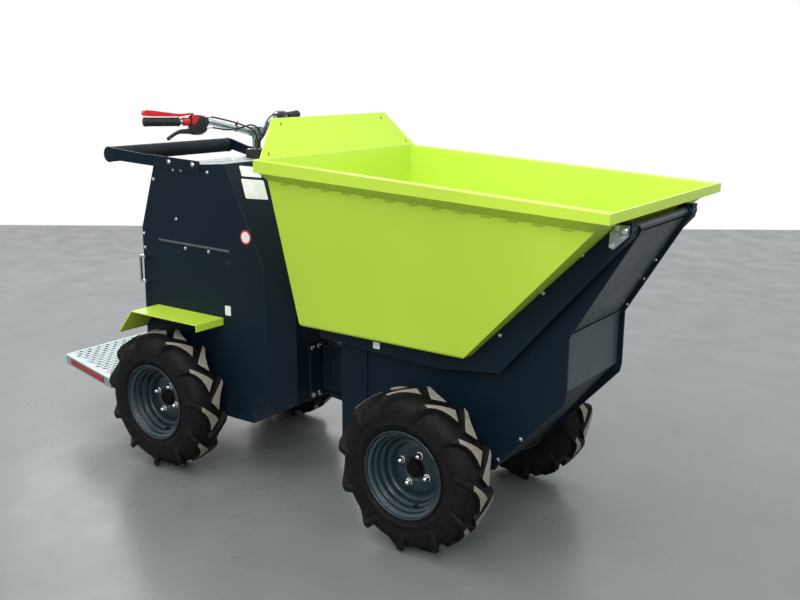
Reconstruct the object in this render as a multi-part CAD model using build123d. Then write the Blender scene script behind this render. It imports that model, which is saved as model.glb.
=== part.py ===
from build123d import *
import math
import os

# Articulated walk-behind site dumper with a front-tipping tub, in millimetres.
# +X is forward, +Y is left, +Z is up. Sizes below are measured from the ground under the
# articulation pin. save() moves each piece so that the origin is the middle of the footprint.

# ---- Driving dimensions: sheet, plate and clearances -------------------------------------
WALL = 4.0                    # folded sheet of cabinet and tub
PLATE = 6.0                   # frame plates
SEAT_GAP = 0.3                # pieces that bear on each other without touching
MOVE_GAP = 6.0                # pieces that pass each other
PIN_GAP = 0.05                # radial clearance of a pin in its bore
TOOL_REACH = 3000.0           # cutting solids end beyond every piece

# ---- Wheels and axles
WHEELBASE = 1118.0
TYRE_RADIUS = 257.0           # over the lugs
TYRE_HALF_WIDTH = 74.0
TYRE_SPACE = 21.0             # tyre beside the cabinet
LUG_COUNT = 11                # lugs on each side of the tread, half a pitch apart
FLANGE_WRAP = 5.0             # rubber that stands over the rim flange
CARCASS = [
    # depth below the lugs' tips, inset from the widest place
    (87.0, 4.0), (53.0, 5.0), (28.0, 26.0), (20.0, TYRE_HALF_WIDTH),
]
LUG_SECTIONS = [
    # depth and inset of the lug's root, depth and inset of its face, sweep in degrees, width
    (26.0, TYRE_HALF_WIDTH, 0.0, TYRE_HALF_WIDTH, 0.0, 34.0),
    (35.0, 30.0, 3.0, 18.0, 17.0, 18.0),
    (71.0, 8.0, 61.0, 0.5, 25.0, 13.0),
]
RIM_HALF_WIDTH = 68.0
RIM_SHOULDER_HALF = 34.0      # bead seats end here
RIM_WELL_HALF = 20.4
FLANGE_RADIUS = 142.0
BEAD_RADIUS = 127.0
RIM_WELL_RADIUS = 106.0
RIM_SHEET = 5.0
DISC_OFFSET = -8.0            # wheel disc from the middle of the rim, outward positive
HUB_RADIUS = 48.0
CAP_RADIUS = 30.0
CAP_HEIGHT = 22.0
CAP_DRAFT = 2.0
NUT_CIRCLE_RADIUS = 51.0
NUT_COUNT = 4
NUT_RADIUS = 11.0
NUT_HEIGHT = 10.0
STUB_RADIUS = 20.0
STUB_LENGTH = 60.0
AXLE_TUBE_RADIUS = 24.0
DRIVE_CASE_RADIUS = 50.0
DRIVE_CASE_HALF = 70.0
DRIVE_CASE_RAISE = 23.0       # middle of the drive case above the axle

# ---- Rear cabinet
CAB_HALF = 250.0              # half width
CAB_FRONT = -65.0             # middle of the cabinet front, behind the pin
CAB_REAR = -767.0
CAB_BOTTOM = 205.0
CAB_KNEE = (-759.0, 869.0)
CAB_TOP_REAR = (-679.0, 1104.0)
CAB_TOP_FRONT = (-313.0, 1131.0)
CAB_LEAN = 0.495              # run of the sloping front for each unit of drop
CAB_CHAMFER_START = -141.0    # x where the 45 degree corners begin at the cabinet side
CAB_RAMP_START = -208.0       # x where the bottom starts to rise forward
CAB_RAMP_RISE = 0.54          # rise for each unit forward
REAR_BORDER = 28.0            # frame left round the rear opening
REAR_PANEL_EDGE = 8.0         # rear panel inside the cabinet's outline
REAR_PANEL_FOOT = 22.0
REAR_PANEL_HEAD = 16.0
CONSOLE_SHEET = 3.0
CONSOLE_EDGE = 2.0            # console top inside the cabinet's outline
PULL_X = -748.0
PULL_Z = 715.0
PULL_BAR = 8.0                # square section
PULL_HALF = 52.0
PULL_STAND = 30.0             # stands off the cabinet side
PULL_FOOT = 34.0
FENDER_TOP = 578.0
FENDER_WIDTH = 132.0          # out from the cabinet side
FENDER_FRONT = -345.0
FENDER_REAR = -690.0
FENDER_LIP = 26.0
FENDER_FLAP = (78.0, 92.0)    # run and drop of the rear flap
BATTERY_X = (-640.0, -260.0)
BATTERY_HALF = 190.0
BATTERY_Z = (420.0, 690.0)
BATTERY_SHELF = 5.0

# ---- Hip bar, handlebar and controls
HIP_X = -855.0
HIP_Z = 1139.0
HIP_HALF = 302.0
HIP_RADIUS = 28.0
ARM_FRONT = -435.0
ARM_BEND = -668.0             # where the arm leaves the cabinet side
ARM_END = 29.0                # round end of the arm over the bar's end
ARM_LOW = 45.0                # arm edges from the hip bar's height, at its front,
ARM_HIGH = -5.0
ARM_CREST = (-700.0, 6.0)     # at the crest of its top edge,
ARM_BEND_LOW = 36.0           # at the bend,
ARM_TIP_LOW = 16.0            # and below the bar
STEM_X = -400.0
STEM_RADIUS = 12.0
BAR_Z = 1228.0
BAR_RADIUS = 11.0
BAR_MIDDLE = 34.0             # half of the bar's straight middle
BAR_BEND = 50.0
BAR_ELBOW = (-459.0, 172.0, 1267.0)   # inner end of the straight that carries the controls
BAR_TIP = (-544.0, 394.0, 1272.0)
GRIP_RADIUS = 16.0
GRIP_LENGTH = 128.0
GRIP_END = 4.0                # rubber beyond the tube's end
HOUSING_PLACE = 164.0         # along the tube from its end
HOUSING_LENGTH = 60.0
HOUSING_DEPTH = 46.0
HOUSING_TOP = 25.0            # above and below the tube's axis
HOUSING_LOW = 46.0
HOUSING_ROUND = 8.0
LEVER_ACROSS = (-22.0, -10.0)     # brake lever's edges, rearward of the tube's axis
BRAKE_LEVER = [
    # inward from the tube's end, up from its axis
    (HOUSING_PLACE - SEAT_GAP, -22.0), (120.0, -25.0), (78.0, -50.0), (74.0, -62.0), (112.0, -40.0),
    (HOUSING_PLACE - SEAT_GAP, -42.0),
]
SAFETY_ACROSS = (-12.0, 12.0)
SAFETY_LEVER = [
    (176.0, HOUSING_TOP + SEAT_GAP), (176.0, 31.0), (160.0, 31.0), (128.0, 26.0), (4.0, 41.0),
    (-6.0, 36.0), (-7.0, 24.0), (2.0, 19.5), (130.0, 18.5), (HOUSING_PLACE, HOUSING_TOP + SEAT_GAP),
]
CONSOLE_Z = 1129.0            # console surface at the stem
BEARING_HALF = 24.0
BEARING_REAR = 28.0
BEARING_RAISE = 1.0           # foot of the bearing over the sloping console
BEARING_TOP = 34.0
BEARING_SEAT = 20.0
STEM_HEAD = (17.0, 18.0, 17.0)
CABLE_RADIUS = 3.0
CABLE_RUN = 22.0              # straight out of the housing
STEM_RUN = 24.0               # straight down beside the stem, to this height
CABLE_FOOT = 1168.0
CABLE_ROUTES = [
    # start on the right housing's inner face, rearward and up from the tube's axis; turn round the
    # stem of its foot in degrees; points between
    ((0.0, 17.0), -50.0,
     [(-434, -110, 1271), (-406, -62, 1254), (-376, -36, 1236), (-375, -20, 1214)]),
    ((-12.0, -20.0), -13.0,
     [(-418, -118, 1236), (-392, -76, 1246), (-376, -42, 1256), (-366, -16, 1240), (-371, -5, 1211)]),
]

# ---- Standing platform
PLATFORM_REACH = 83.0         # platform hinge behind the cabinet
DECK_SET_BACK = 18.0          # deck's front edge behind its hinge
DECK_LENGTH = 437.0
DECK_HINGE_X = CAB_REAR - PLATFORM_REACH
DECK_HINGE_DROP = 8.0         # hinge below the deck's top
DECK_TOP = 270.0
DECK_FRONT = DECK_HINGE_X - DECK_SET_BACK
DECK_REAR = DECK_FRONT - DECK_LENGTH
DECK_HINGE_Z = DECK_TOP - DECK_HINGE_DROP
DECK_FRONT_HALF = 356.0
DECK_REAR_HALF = 247.0
DECK_SKIRT = 36.0
DECK_SHEET = 3.0
DECK_CORNER = 24.0
DECK_PIN_RADIUS = 8.0
DECK_LUG_EDGE = 5.0           # metal round the platform's pin
KNUCKLE_Y = 150.0             # platform hinges each side of the middle
KNUCKLE_HALF = 20.0
KNUCKLE_RISE = 12.0
LUG_SPACE = 2.0               # hinge lug beside its knuckle
LUG_BASE_HALF = 40.0
REFLECTOR = (320.0, 2.4, 22.0)

# ---- Front frame
NOSE_HALF = 202.0             # outer faces of the nose plates
NOSE_BOTTOM = 220.0
NOSE_KNEE_X = 990.0
NOSE_KNEE_HIGH = 714.0
NOSE_KNEE_LOW = 540.0
NOSE_CORNER = (6.0, 28.0)     # small cut between the upright front and the bevel
NOSE_BEVEL_X = 722.0          # where the lower front bevel meets the flat bottom
NOSE_TOP = 596.0
NOSE_TOP_END = 780.0          # where the top edge turns up to the hinge ear
NOSE_REAR = 250.0
COVER_INSET = 17.0            # front covers behind the plate edges
COVER_FLANGE = 14.0           # folded top edge of the upper cover
COVER_LIP = 6.0               # folded top edge of the lower cover
BULKHEAD_X = 167.0
POST_DEPTH = 104.0
HINGE_X = 1157.0              # tub hinge
HINGE_Z = 1047.0
HINGE_PIN_RADIUS = 12.0
HINGE_OVERHANG = 8.0
EAR_FRONT = (28.0, -2.0)      # square end of the hinge ear, from the hinge
EAR_TOP = (8.0, 18.0)
EAR_REAR = (-10.0, 14.0)
EAR_NECK = (-62.0, -55.0)
PIVOT_PIN_RADIUS = 16.0
PIVOT_TUBE_RADIUS = 34.0
PIVOT_EYE_RADIUS = 50.0
YOKE_LOW = 290.0
YOKE_HIGH = 478.0
YOKE_PLATE = 12.0
YOKE_HALF = 88.0
YOKE_FOOT = 20.0              # yoke's back plate above and below its leaves
YOKE_NECK = 10.0              # taper of a leaf ends this far ahead of the pin
PIN_OVERHANG = 10.0
PIVOT_RUN = 2.0               # pivot tube inside the yoke leaves
BRACKET_HALF = 110.0
BRACKET_PLATE = 8.0

# ---- Tub
TUB_FLOOR = 622.0             # underside of the tub floor
TUB_FLOOR_REAR = 64.0
TUB_FLOOR_FRONT = 695.0
TUB_FLOOR_HALF = 300.0
TUB_SIDE_SLOPE = 0.19         # outward run of the side for each unit of rise
TUB_REAR_SLOPE = -0.085       # rearward run of the rear wall for each unit of rise
TUB_FRONT_SLOPE = 1.0         # forward run of the front wall for each unit of rise
TUB_EDGE_RADIUS = 14.0
RIM_REAR = (-4.0, 1176.0)     # top of the lip at the rear
RIM_FRONT = (1188.0, 1113.0)  # top of the lip at the front
LIP_WIDTH = 24.0              # lip beyond the side wall, at the rear
LIP_DROP_REAR = 39.0
LIP_DROP_FRONT = 28.0
LIP_RETURN = 0.69             # fall of the lip's slanted underside for each unit inward
SPLASH_LOW_INSET = 5.0        # splash board inside the lip's edge, at its foot
SPLASH_TOP_INSET = 126.0      # and at its top
SPLASH_HEIGHT = 122.0
SPLASH_LEAN = 55.0            # rearward lean of the splash board over its height
CRADLE_HALF = 252.0           # outer faces of the tipping cradle
CRADLE_REAR = 110.0
CRADLE_REAR_DEPTH = 40.0
CRADLE_LOW_REAR = (587.0, 563.0)
CRADLE_LOW_FRONT = (795.0, 587.0)
CRADLE_EAR_REACH = 20.0       # cradle ears around the hinge
CROSS_PLATES = [(120.0, 180.0), (560.0, 640.0)]
CROSS_SHEET = 8.0
LUG_REAR = 60.0               # cylinder lugs behind and ahead of the rod's eye
LUG_FRONT = 20.0
LUG_EDGE = 7.0
CRADLE_NECK = 58.0            # where the ear leaves the channel, behind the hinge

# ---- Tipping cylinder
RAM_BASE = (695.0, 305.0)
RAM_EYE = (1010.0, 850.0)
BARREL_RADIUS = 26.0
ROD_RADIUS = 16.0
EYE_RADIUS = 22.0
EYE_HALF = 13.0
EYE_PIN_RADIUS = 10.0
BARREL_FOOT = 14.0            # barrel starts beyond its base eye
GLAND_BACK = 46.0             # barrel ends short of the rod's eye
ROD_FOOT = 40.0
BORE_FOOT = 30.0

# ---- Worked out from the sizes above
TRACK_HALF = CAB_HALF + TYRE_SPACE + TYRE_HALF_WIDTH
RIM_SLOPE = (RIM_FRONT[1] - RIM_REAR[1]) / (RIM_FRONT[0] - RIM_REAR[0])
RIM_HALF = TUB_FLOOR_HALF + TUB_SIDE_SLOPE * (RIM_REAR[1] - TUB_FLOOR) + LIP_WIDTH
COVER_HALF = NOSE_HALF - PLATE - SEAT_GAP
RAM_LENGTH = math.hypot(RAM_EYE[0] - RAM_BASE[0], RAM_EYE[1] - RAM_BASE[1])
RAM_ANGLE = math.atan2(RAM_EYE[1] - RAM_BASE[1], RAM_EYE[0] - RAM_BASE[0])
REAR_FACE = CAB_REAR - WALL - 2 * SEAT_GAP       # back of the cabinet's rear panel
WHEELS = [
    # name, axle x, side
    ("front_left", WHEELBASE / 2, 1),
    ("front_right", WHEELBASE / 2, -1),
    ("rear_left", -WHEELBASE / 2, 1),
    ("rear_right", -WHEELBASE / 2, -1),
]

# ---- Shape helpers -----------------------------------------------------------------------


def side_prism(points, y_low, y_high):
    """Solid from an outline of (x, z) points, between two y planes."""
    wire = Polyline(*[(x, y_high, z) for x, z in points], close=True)
    return extrude(make_face(wire), amount=y_high - y_low, dir=(0, -1, 0))


def plan_prism(points, z_low, z_high):
    """Solid from an outline of (x, y) points, between two heights."""
    wire = Polyline(*[(x, y, z_low) for x, y in points], close=True)
    return extrude(make_face(wire), amount=z_high - z_low, dir=(0, 0, 1))


def front_prism(points, x_low, x_high):
    """Solid from an outline of (y, z) points, between two x planes."""
    wire = Polyline(*[(x_low, y, z) for y, z in points], close=True)
    return extrude(make_face(wire), amount=x_high - x_low, dir=(1, 0, 0))


def block(x_low, x_high, y_low, y_high, z_low, z_high):
    """Box between three pairs of planes."""
    size = (x_high - x_low, y_high - y_low, z_high - z_low)
    centre = ((x_low + x_high) / 2, (y_low + y_high) / 2, (z_low + z_high) / 2)
    return Pos(*centre) * Box(*size)


def cross_bar(x, z, radius, y_low, y_high):
    """Round bar along Y."""
    return Pos(x, (y_low + y_high) / 2, z) * Rot(90, 0, 0) * Cylinder(radius, y_high - y_low)


def upright(x, y, radius, z_low, z_high):
    """Round bar along Z."""
    return Pos(x, y, (z_low + z_high) / 2) * Cylinder(radius, z_high - z_low)


def both_sides(piece):
    """A piece and its mirror image across the middle plane."""
    return Compound([piece, mirror(piece, about=Plane.XZ)])


def turned(points):
    """Solid of revolution about Y from an outline of (radius, y) points."""
    wire = Polyline(*[(radius, y, 0) for radius, y in points], close=True)
    return revolve(make_face(wire), axis=Axis.Y)


def save(name, shape):
    """Write one node, with the origin at the middle of the machine's length."""
    middle = (DECK_REAR + RIM_FRONT[0]) / 2
    export_step(Pos(-middle, 0, 0) * shape, f"parts/{name}.step")


def point_at(low, high, height):
    """Point of the line through two (x, z) points at a height."""
    share = (height - low[1]) / (high[1] - low[1])
    return (low[0] + share * (high[0] - low[0]), height)


def shifted(origin, step):
    """An (x, z) point moved by a (run, rise) step."""
    return (origin[0] + step[0], origin[1] + step[1])


# ---- Wheels ------------------------------------------------------------------------------


def spoke(radius, y, angle):
    """Point at a radius and a turn about Y."""
    return (radius * math.sin(angle), y, radius * math.cos(angle))


def polyhedron(points, faces):
    """Solid from corner points and flat faces, each a run of places in the list of points."""
    sheets = [Face(Wire.make_polygon([points[i] for i in face], close=True)) for face in faces]
    return Solid(Shell(sheets))


def carcass():
    """Tyre inside its lugs: flat facets about Y, bore open for the rim."""
    facets = 2 * LUG_COUNT
    bore = (BEAD_RADIUS + SEAT_GAP) / math.cos(math.pi / facets)
    bead_half = RIM_HALF_WIDTH - 2 * RIM_SHEET
    half = [(bore, bead_half), (FLANGE_RADIUS + FLANGE_WRAP, bead_half)]
    half += [(TYRE_RADIUS - depth, TYRE_HALF_WIDTH - inset) for depth, inset in CARCASS]
    outline = half + [(radius, -y) for radius, y in reversed(half[:-1])]
    rows = len(outline)
    points, faces = [], []
    for step in range(facets):
        points += [spoke(radius, y, 2 * math.pi * step / facets) for radius, y in outline]
        here, after = step * rows, (step + 1) % facets * rows
        for row in range(rows):
            following = (row + 1) % rows
            faces.append((here + row, here + following, after + following, after + row))
    return polyhedron(points, faces)


def tread_lug(side, turn):
    """One lug from the middle of the tread over the shoulder, on one side."""
    points, faces = [], []
    for root, root_inset, face, face_inset, sweep, width in LUG_SECTIONS:
        middle = turn - math.radians(sweep)
        low, high = TYRE_RADIUS - root, TYRE_RADIUS - face
        low_y, high_y = side * (TYRE_HALF_WIDTH - root_inset), side * (TYRE_HALF_WIDTH - face_inset)
        for radius, y, sign in ((low, low_y, -1), (low, low_y, 1), (high, high_y, 1), (high, high_y, -1)):
            points.append(spoke(radius, y, middle + sign * width / 2 / radius))
    end = len(points) - 4
    for row in range(0, end, 4):
        for here in range(4):
            after = (here + 1) % 4
            faces += [(row + here, row + after, row + 4 + after),
                      (row + here, row + 4 + after, row + 4 + here)]
    faces += [(0, 1, 2), (0, 2, 3), (end, end + 2, end + 1), (end, end + 3, end + 2)]
    return polyhedron(points, faces)


def tyre():
    """Tyre about Y at the origin with its lugs, the left side's."""
    phase = LUG_SECTIONS[0][-1] / 2 / TYRE_RADIUS
    lugs = []
    for step in range(2 * LUG_COUNT):
        lugs.append(tread_lug(-1 if step % 2 else 1, phase + math.pi * step / LUG_COUNT))
    return carcass().fuse(*lugs)


def rim_shell():
    """Folded rim with its deep well, about Y at the origin."""
    half = RIM_HALF_WIDTH
    sheet = RIM_SHEET
    outer = [(RIM_WELL_RADIUS, RIM_WELL_HALF), (BEAD_RADIUS, RIM_SHOULDER_HALF),
             (BEAD_RADIUS, half - sheet * 2), (FLANGE_RADIUS, half - sheet), (FLANGE_RADIUS, half)]
    inner = [(BEAD_RADIUS - sheet, half - sheet), (BEAD_RADIUS - sheet, RIM_SHOULDER_HALF + sheet / 2),
             (RIM_WELL_RADIUS - sheet, RIM_WELL_HALF + sheet / 2)]
    half_outline = outer + inner
    folded = [(radius, -y) for radius, y in half_outline]
    return turned(folded[4::-1] + outer + inner + folded[:4:-1])


def rim():
    """Rim, wheel disc, hub, cap and nuts about Y at the origin, outer side on +Y."""
    disc_in = DISC_OFFSET - RIM_SHEET
    hub_in = -TRACK_HALF + CAB_HALF + MOVE_GAP
    disc_radius = RIM_WELL_RADIUS - RIM_SHEET + 1
    disc = turned([(0, disc_in), (disc_radius, disc_in), (disc_radius, DISC_OFFSET), (0, DISC_OFFSET)])
    hub = turned([(0, hub_in), (HUB_RADIUS, hub_in), (HUB_RADIUS, disc_in + 1), (0, disc_in + 1)])
    cap = turned([(0, DISC_OFFSET - 1), (CAP_RADIUS, DISC_OFFSET - 1),
                  (CAP_RADIUS - CAP_DRAFT, DISC_OFFSET + CAP_HEIGHT), (0, DISC_OFFSET + CAP_HEIGHT)])
    body = rim_shell() + disc + hub + cap
    for index in range(NUT_COUNT):
        turn = Rot(0, (index + 0.5) * 360 / NUT_COUNT, 0)
        nut = Rot(90, 0, 0) * extrude(RegularPolygon(NUT_RADIUS, 6), amount=NUT_HEIGHT, both=True)
        body += turn * Pos(NUT_CIRCLE_RADIUS, DISC_OFFSET, 0) * nut
    bore_radius = STUB_RADIUS + PIN_GAP
    bore_end = hub_in + STUB_LENGTH + SEAT_GAP
    bore = turned([(0, hub_in - 1), (bore_radius, hub_in - 1), (bore_radius, bore_end), (0, bore_end)])
    return body - bore


def wheels():
    """Four tyres and four rims with their hubs."""
    tyre_solid = tyre()
    rim_solid = rim()
    for name, axle_x, side in WHEELS:
        place = Pos(axle_x, side * TRACK_HALF, TYRE_RADIUS)
        for part, solid in (("tyre", tyre_solid), ("rim", rim_solid)):
            save(f"{part}_{name}", place * (solid if side > 0 else mirror(solid, about=Plane.XZ)))


def axle(axle_x):
    """Axle tube with its drive case and motor, and stubs into the hubs."""
    stub_end = CAB_HALF + MOVE_GAP + STUB_LENGTH
    body = cross_bar(axle_x, TYRE_RADIUS, AXLE_TUBE_RADIUS, -CAB_HALF, CAB_HALF)
    body += cross_bar(axle_x, TYRE_RADIUS, STUB_RADIUS, -stub_end, stub_end)
    return body + cross_bar(axle_x, TYRE_RADIUS + DRIVE_CASE_RAISE, DRIVE_CASE_RADIUS,
                            -DRIVE_CASE_HALF, DRIVE_CASE_HALF)


def axle_holes(axle_x):
    """Bar that cuts the axle's way through side plates."""
    return cross_bar(axle_x, TYRE_RADIUS, AXLE_TUBE_RADIUS + SEAT_GAP, -TOOL_REACH, TOOL_REACH)


# ---- Rear cabinet ------------------------------------------------------------------------


def cabinet_body(inset):
    """Closed cabinet form, moved in by a wall thickness."""
    front = CAB_FRONT - inset
    slant = inset * (math.hypot(1, CAB_LEAN) - CAB_LEAN)
    low_front_z = CAB_BOTTOM + CAB_RAMP_RISE * (CAB_FRONT - CAB_RAMP_START)
    meet_z = CAB_TOP_FRONT[1] - (CAB_FRONT - CAB_TOP_FRONT[0]) / CAB_LEAN
    ramp_back = inset * (math.hypot(1, CAB_RAMP_RISE) - 1) / CAB_RAMP_RISE
    profile = [
        (CAB_REAR + inset, CAB_BOTTOM + inset), (CAB_RAMP_START - ramp_back, CAB_BOTTOM + inset),
        (front, low_front_z + inset), (front, meet_z - inset * CAB_LEAN),
        (CAB_TOP_FRONT[0] - slant, CAB_TOP_FRONT[1] - inset),
        (CAB_TOP_REAR[0] + inset, CAB_TOP_REAR[1] - inset),
        (CAB_KNEE[0] + inset, CAB_KNEE[1]),
    ]
    half = CAB_HALF - inset
    body = side_prism(profile, -half, half)
    run = CAB_FRONT - CAB_CHAMFER_START
    chamfer = inset * (math.sqrt(2) - 1)
    plan = [(CAB_REAR, -half), (CAB_CHAMFER_START - chamfer, -half), (CAB_FRONT, -half + run + chamfer),
            (CAB_FRONT, half - run - chamfer), (CAB_CHAMFER_START - chamfer, half), (CAB_REAR, half)]
    return body & plan_prism(plan, 0, CAB_TOP_FRONT[1] + WALL)


def cabinet_shell():
    """Folded cabinet, open at the back for its rear panel."""
    shell = cabinet_body(0) - cabinet_body(WALL)
    border = REAR_BORDER
    head = point_at(CAB_KNEE, CAB_TOP_REAR, CAB_TOP_REAR[1] - border)
    foot_z = CAB_BOTTOM + border
    opening = [(CAB_REAR - border, foot_z), (CAB_REAR + 3 * WALL, foot_z),
               (CAB_KNEE[0] + 3 * WALL, CAB_KNEE[1]), (head[0] + 3 * WALL, head[1]),
               (CAB_REAR - border, head[1])]
    shell -= side_prism(opening, -CAB_HALF + border, CAB_HALF - border)
    return shell - axle_holes(-WHEELBASE / 2)


def rear_panel():
    """Screwed rear cover, folded at the knee like the cabinet's back edge."""
    foot = point_at((CAB_REAR, CAB_BOTTOM), CAB_KNEE, CAB_BOTTOM + REAR_PANEL_FOOT)
    head = point_at(CAB_KNEE, CAB_TOP_REAR, CAB_TOP_REAR[1] - REAR_PANEL_HEAD)
    line = [foot, CAB_KNEE, head]
    near = [(x - SEAT_GAP * 2, z) for x, z in line]
    far = [(x - SEAT_GAP * 2 - WALL, z) for x, z in reversed(line)]
    half = CAB_HALF - REAR_PANEL_EDGE
    return side_prism(near + far, -half, half)


def console_top():
    """Smooth top plate of the cabinet."""
    slope = (CAB_TOP_FRONT[1] - CAB_TOP_REAR[1]) / (CAB_TOP_FRONT[0] - CAB_TOP_REAR[0])
    rear_x = CAB_TOP_REAR[0] + CONSOLE_EDGE
    front_x = CAB_TOP_FRONT[0] - CONSOLE_EDGE
    rear_z = CAB_TOP_REAR[1] + CONSOLE_EDGE * slope + SEAT_GAP
    front_z = CAB_TOP_FRONT[1] - CONSOLE_EDGE * slope + SEAT_GAP
    profile = [(rear_x, rear_z), (front_x, front_z), (front_x, front_z + CONSOLE_SHEET),
               (rear_x, rear_z + CONSOLE_SHEET)]
    half = CAB_HALF - CONSOLE_EDGE
    return side_prism(profile, -half, half)


def cabinet_pulls():
    """U-shaped pull on each side near the cabinet's back edge."""
    face = CAB_HALF + SEAT_GAP
    out = face + PULL_STAND
    x_low = PULL_X - PULL_BAR / 2
    bar = block(x_low, x_low + PULL_BAR, out - PULL_BAR, out, PULL_Z - PULL_HALF, PULL_Z + PULL_HALF)
    for end in (-PULL_HALF, PULL_HALF - PULL_BAR):
        bar += block(x_low, x_low + PULL_FOOT, face, out, PULL_Z + end, PULL_Z + end + PULL_BAR)
    return both_sides(bar)


def fender(side):
    """Flat mudguard with a sloping rear flap and a short front lip."""
    flap_run, flap_drop = FENDER_FLAP
    profile = [(FENDER_FRONT, FENDER_TOP), (FENDER_REAR, FENDER_TOP),
               (FENDER_REAR - flap_run, FENDER_TOP - flap_drop),
               (FENDER_REAR - flap_run + WALL, FENDER_TOP - flap_drop - WALL / 2),
               (FENDER_REAR + WALL / 2, FENDER_TOP - WALL), (FENDER_FRONT - WALL, FENDER_TOP - WALL),
               (FENDER_FRONT - WALL, FENDER_TOP - FENDER_LIP), (FENDER_FRONT, FENDER_TOP - FENDER_LIP)]
    low, high = sorted((side * (CAB_HALF + SEAT_GAP), side * (CAB_HALF + FENDER_WIDTH)))
    return side_prism(profile, low, high)


def battery_pack():
    """Traction battery as one block on the cabinet's inner shelf."""
    x_low, x_high = BATTERY_X
    z_low, z_high = BATTERY_Z
    shelf_half = CAB_HALF - WALL - SEAT_GAP
    shelf = block(x_low, x_high, -shelf_half, shelf_half, z_low - BATTERY_SHELF, z_low)
    return block(x_low, x_high, -BATTERY_HALF, BATTERY_HALF, z_low, z_high) + shelf


# ---- Hip bar, handlebar and platform -------------------------------------------------------


def hip_bar():
    """Padded bar behind the console."""
    return cross_bar(HIP_X, HIP_Z, HIP_RADIUS, -HIP_HALF, HIP_HALF)


def hip_arms():
    """Two flat arms bolted to the cabinet sides, their round ends over the hip bar's ends."""
    inner, end = CAB_HALF + SEAT_GAP, HIP_HALF + SEAT_GAP
    front, rear = HIP_X + ARM_END, HIP_X - ARM_END
    plan = [(ARM_FRONT, inner), (ARM_BEND, inner), (front, end), (rear, end), (rear, end + PLATE),
            (front, end + PLATE), (ARM_BEND, inner + PLATE), (ARM_FRONT, inner + PLATE)]
    arm = plan_prism(plan, HIP_Z - TOOL_REACH / 10, HIP_Z + TOOL_REACH / 10)
    crest_x, crest_rise = ARM_CREST
    side = [(ARM_FRONT, HIP_Z - ARM_LOW), (ARM_FRONT, HIP_Z + ARM_HIGH), (crest_x, HIP_Z + crest_rise),
            (HIP_X, HIP_Z + ARM_END), (HIP_X, HIP_Z - ARM_TIP_LOW), (ARM_BEND, HIP_Z - ARM_BEND_LOW)]
    face = side_prism(side, 0, TOOL_REACH) + cross_bar(HIP_X, HIP_Z, ARM_END, 0, TOOL_REACH)
    return both_sides(arm & face)


def handlebar_route():
    """Bends of the handlebar tube from the left grip end to the right."""
    left = [BAR_TIP, BAR_ELBOW, (STEM_X, BAR_MIDDLE, BAR_Z)]
    return left + [(x, -y, z) for x, y, z in reversed(left)]


def handlebar_tube():
    """Bent steel handlebar."""
    path = FilletPolyline(*handlebar_route(), radius=BAR_BEND)
    start = Plane(origin=path @ 0, z_dir=path % 0)
    return sweep(start * Circle(BAR_RADIUS), path=path)


def bar_end():
    """Right end of the handlebar: its point, and the ways inward, rearward and up."""
    tip, elbow = (Vector(*point) for point in handlebar_route()[:-3:-1])
    inward = (elbow - tip).normalized()
    rearward = Vector(0, 0, 1).cross(inward).normalized()
    return tip, inward, rearward, inward.cross(rearward)


def on_bar(along, rear, rise):
    """Point beside the right end of the handlebar."""
    tip, inward, rearward, up = bar_end()
    return tip + inward * along + rearward * rear + up * rise


def bar_sleeve(outline, start, length):
    """Solid on each end of the handlebar, from an outline across it, with the tube's bore."""
    _, inward, rearward, _ = bar_end()
    plane = Plane(origin=on_bar(start, 0, 0), x_dir=rearward, z_dir=inward)
    bore = Plane(origin=on_bar(0, 0, 0), x_dir=rearward, z_dir=inward) * Circle(BAR_RADIUS + SEAT_GAP)
    return both_sides(extrude(plane * outline, amount=length) - extrude(bore, amount=start + 2 * length))


def bar_prism(points, rear_low, rear_high):
    """Solid beside the right end of the handlebar, from an outline of (inward, up) points."""
    _, _, rearward, _ = bar_end()
    wire = Polyline(*[on_bar(along, rear_high, rise) for along, rise in points], close=True)
    return extrude(make_face(wire), amount=rear_high - rear_low, dir=rearward * -1)


def grips():
    """Two rubber grips over the tube ends."""
    return bar_sleeve(Circle(GRIP_RADIUS), -GRIP_END, GRIP_LENGTH)


def switch_housings():
    """Clamped switch and lever housings inboard of the grips."""
    height = HOUSING_TOP + HOUSING_LOW
    face = Pos(0, (HOUSING_TOP - HOUSING_LOW) / 2) * RectangleRounded(HOUSING_DEPTH, height, HOUSING_ROUND)
    return bar_sleeve(face, HOUSING_PLACE, HOUSING_LENGTH)


def brake_levers():
    """Black lever under each grip."""
    return both_sides(bar_prism(BRAKE_LEVER, *LEVER_ACROSS))


def safety_lever():
    """Red dead-man lever above the right grip."""
    return bar_prism(SAFETY_LEVER, *SAFETY_ACROSS)


def cable_arcs(points):
    """Largest arcs that the runs of a route allow, one for each inner point."""
    radii = []
    for before, here, after in zip(points, points[1:], points[2:]):
        run_in = Vector(*here) - Vector(*before)
        run_out = Vector(*after) - Vector(*here)
        half_turn = math.radians(run_in.get_angle(run_out)) / 2
        radii.append(0.45 * min(run_in.length, run_out.length) / math.tan(half_turn))
    return radii


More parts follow.
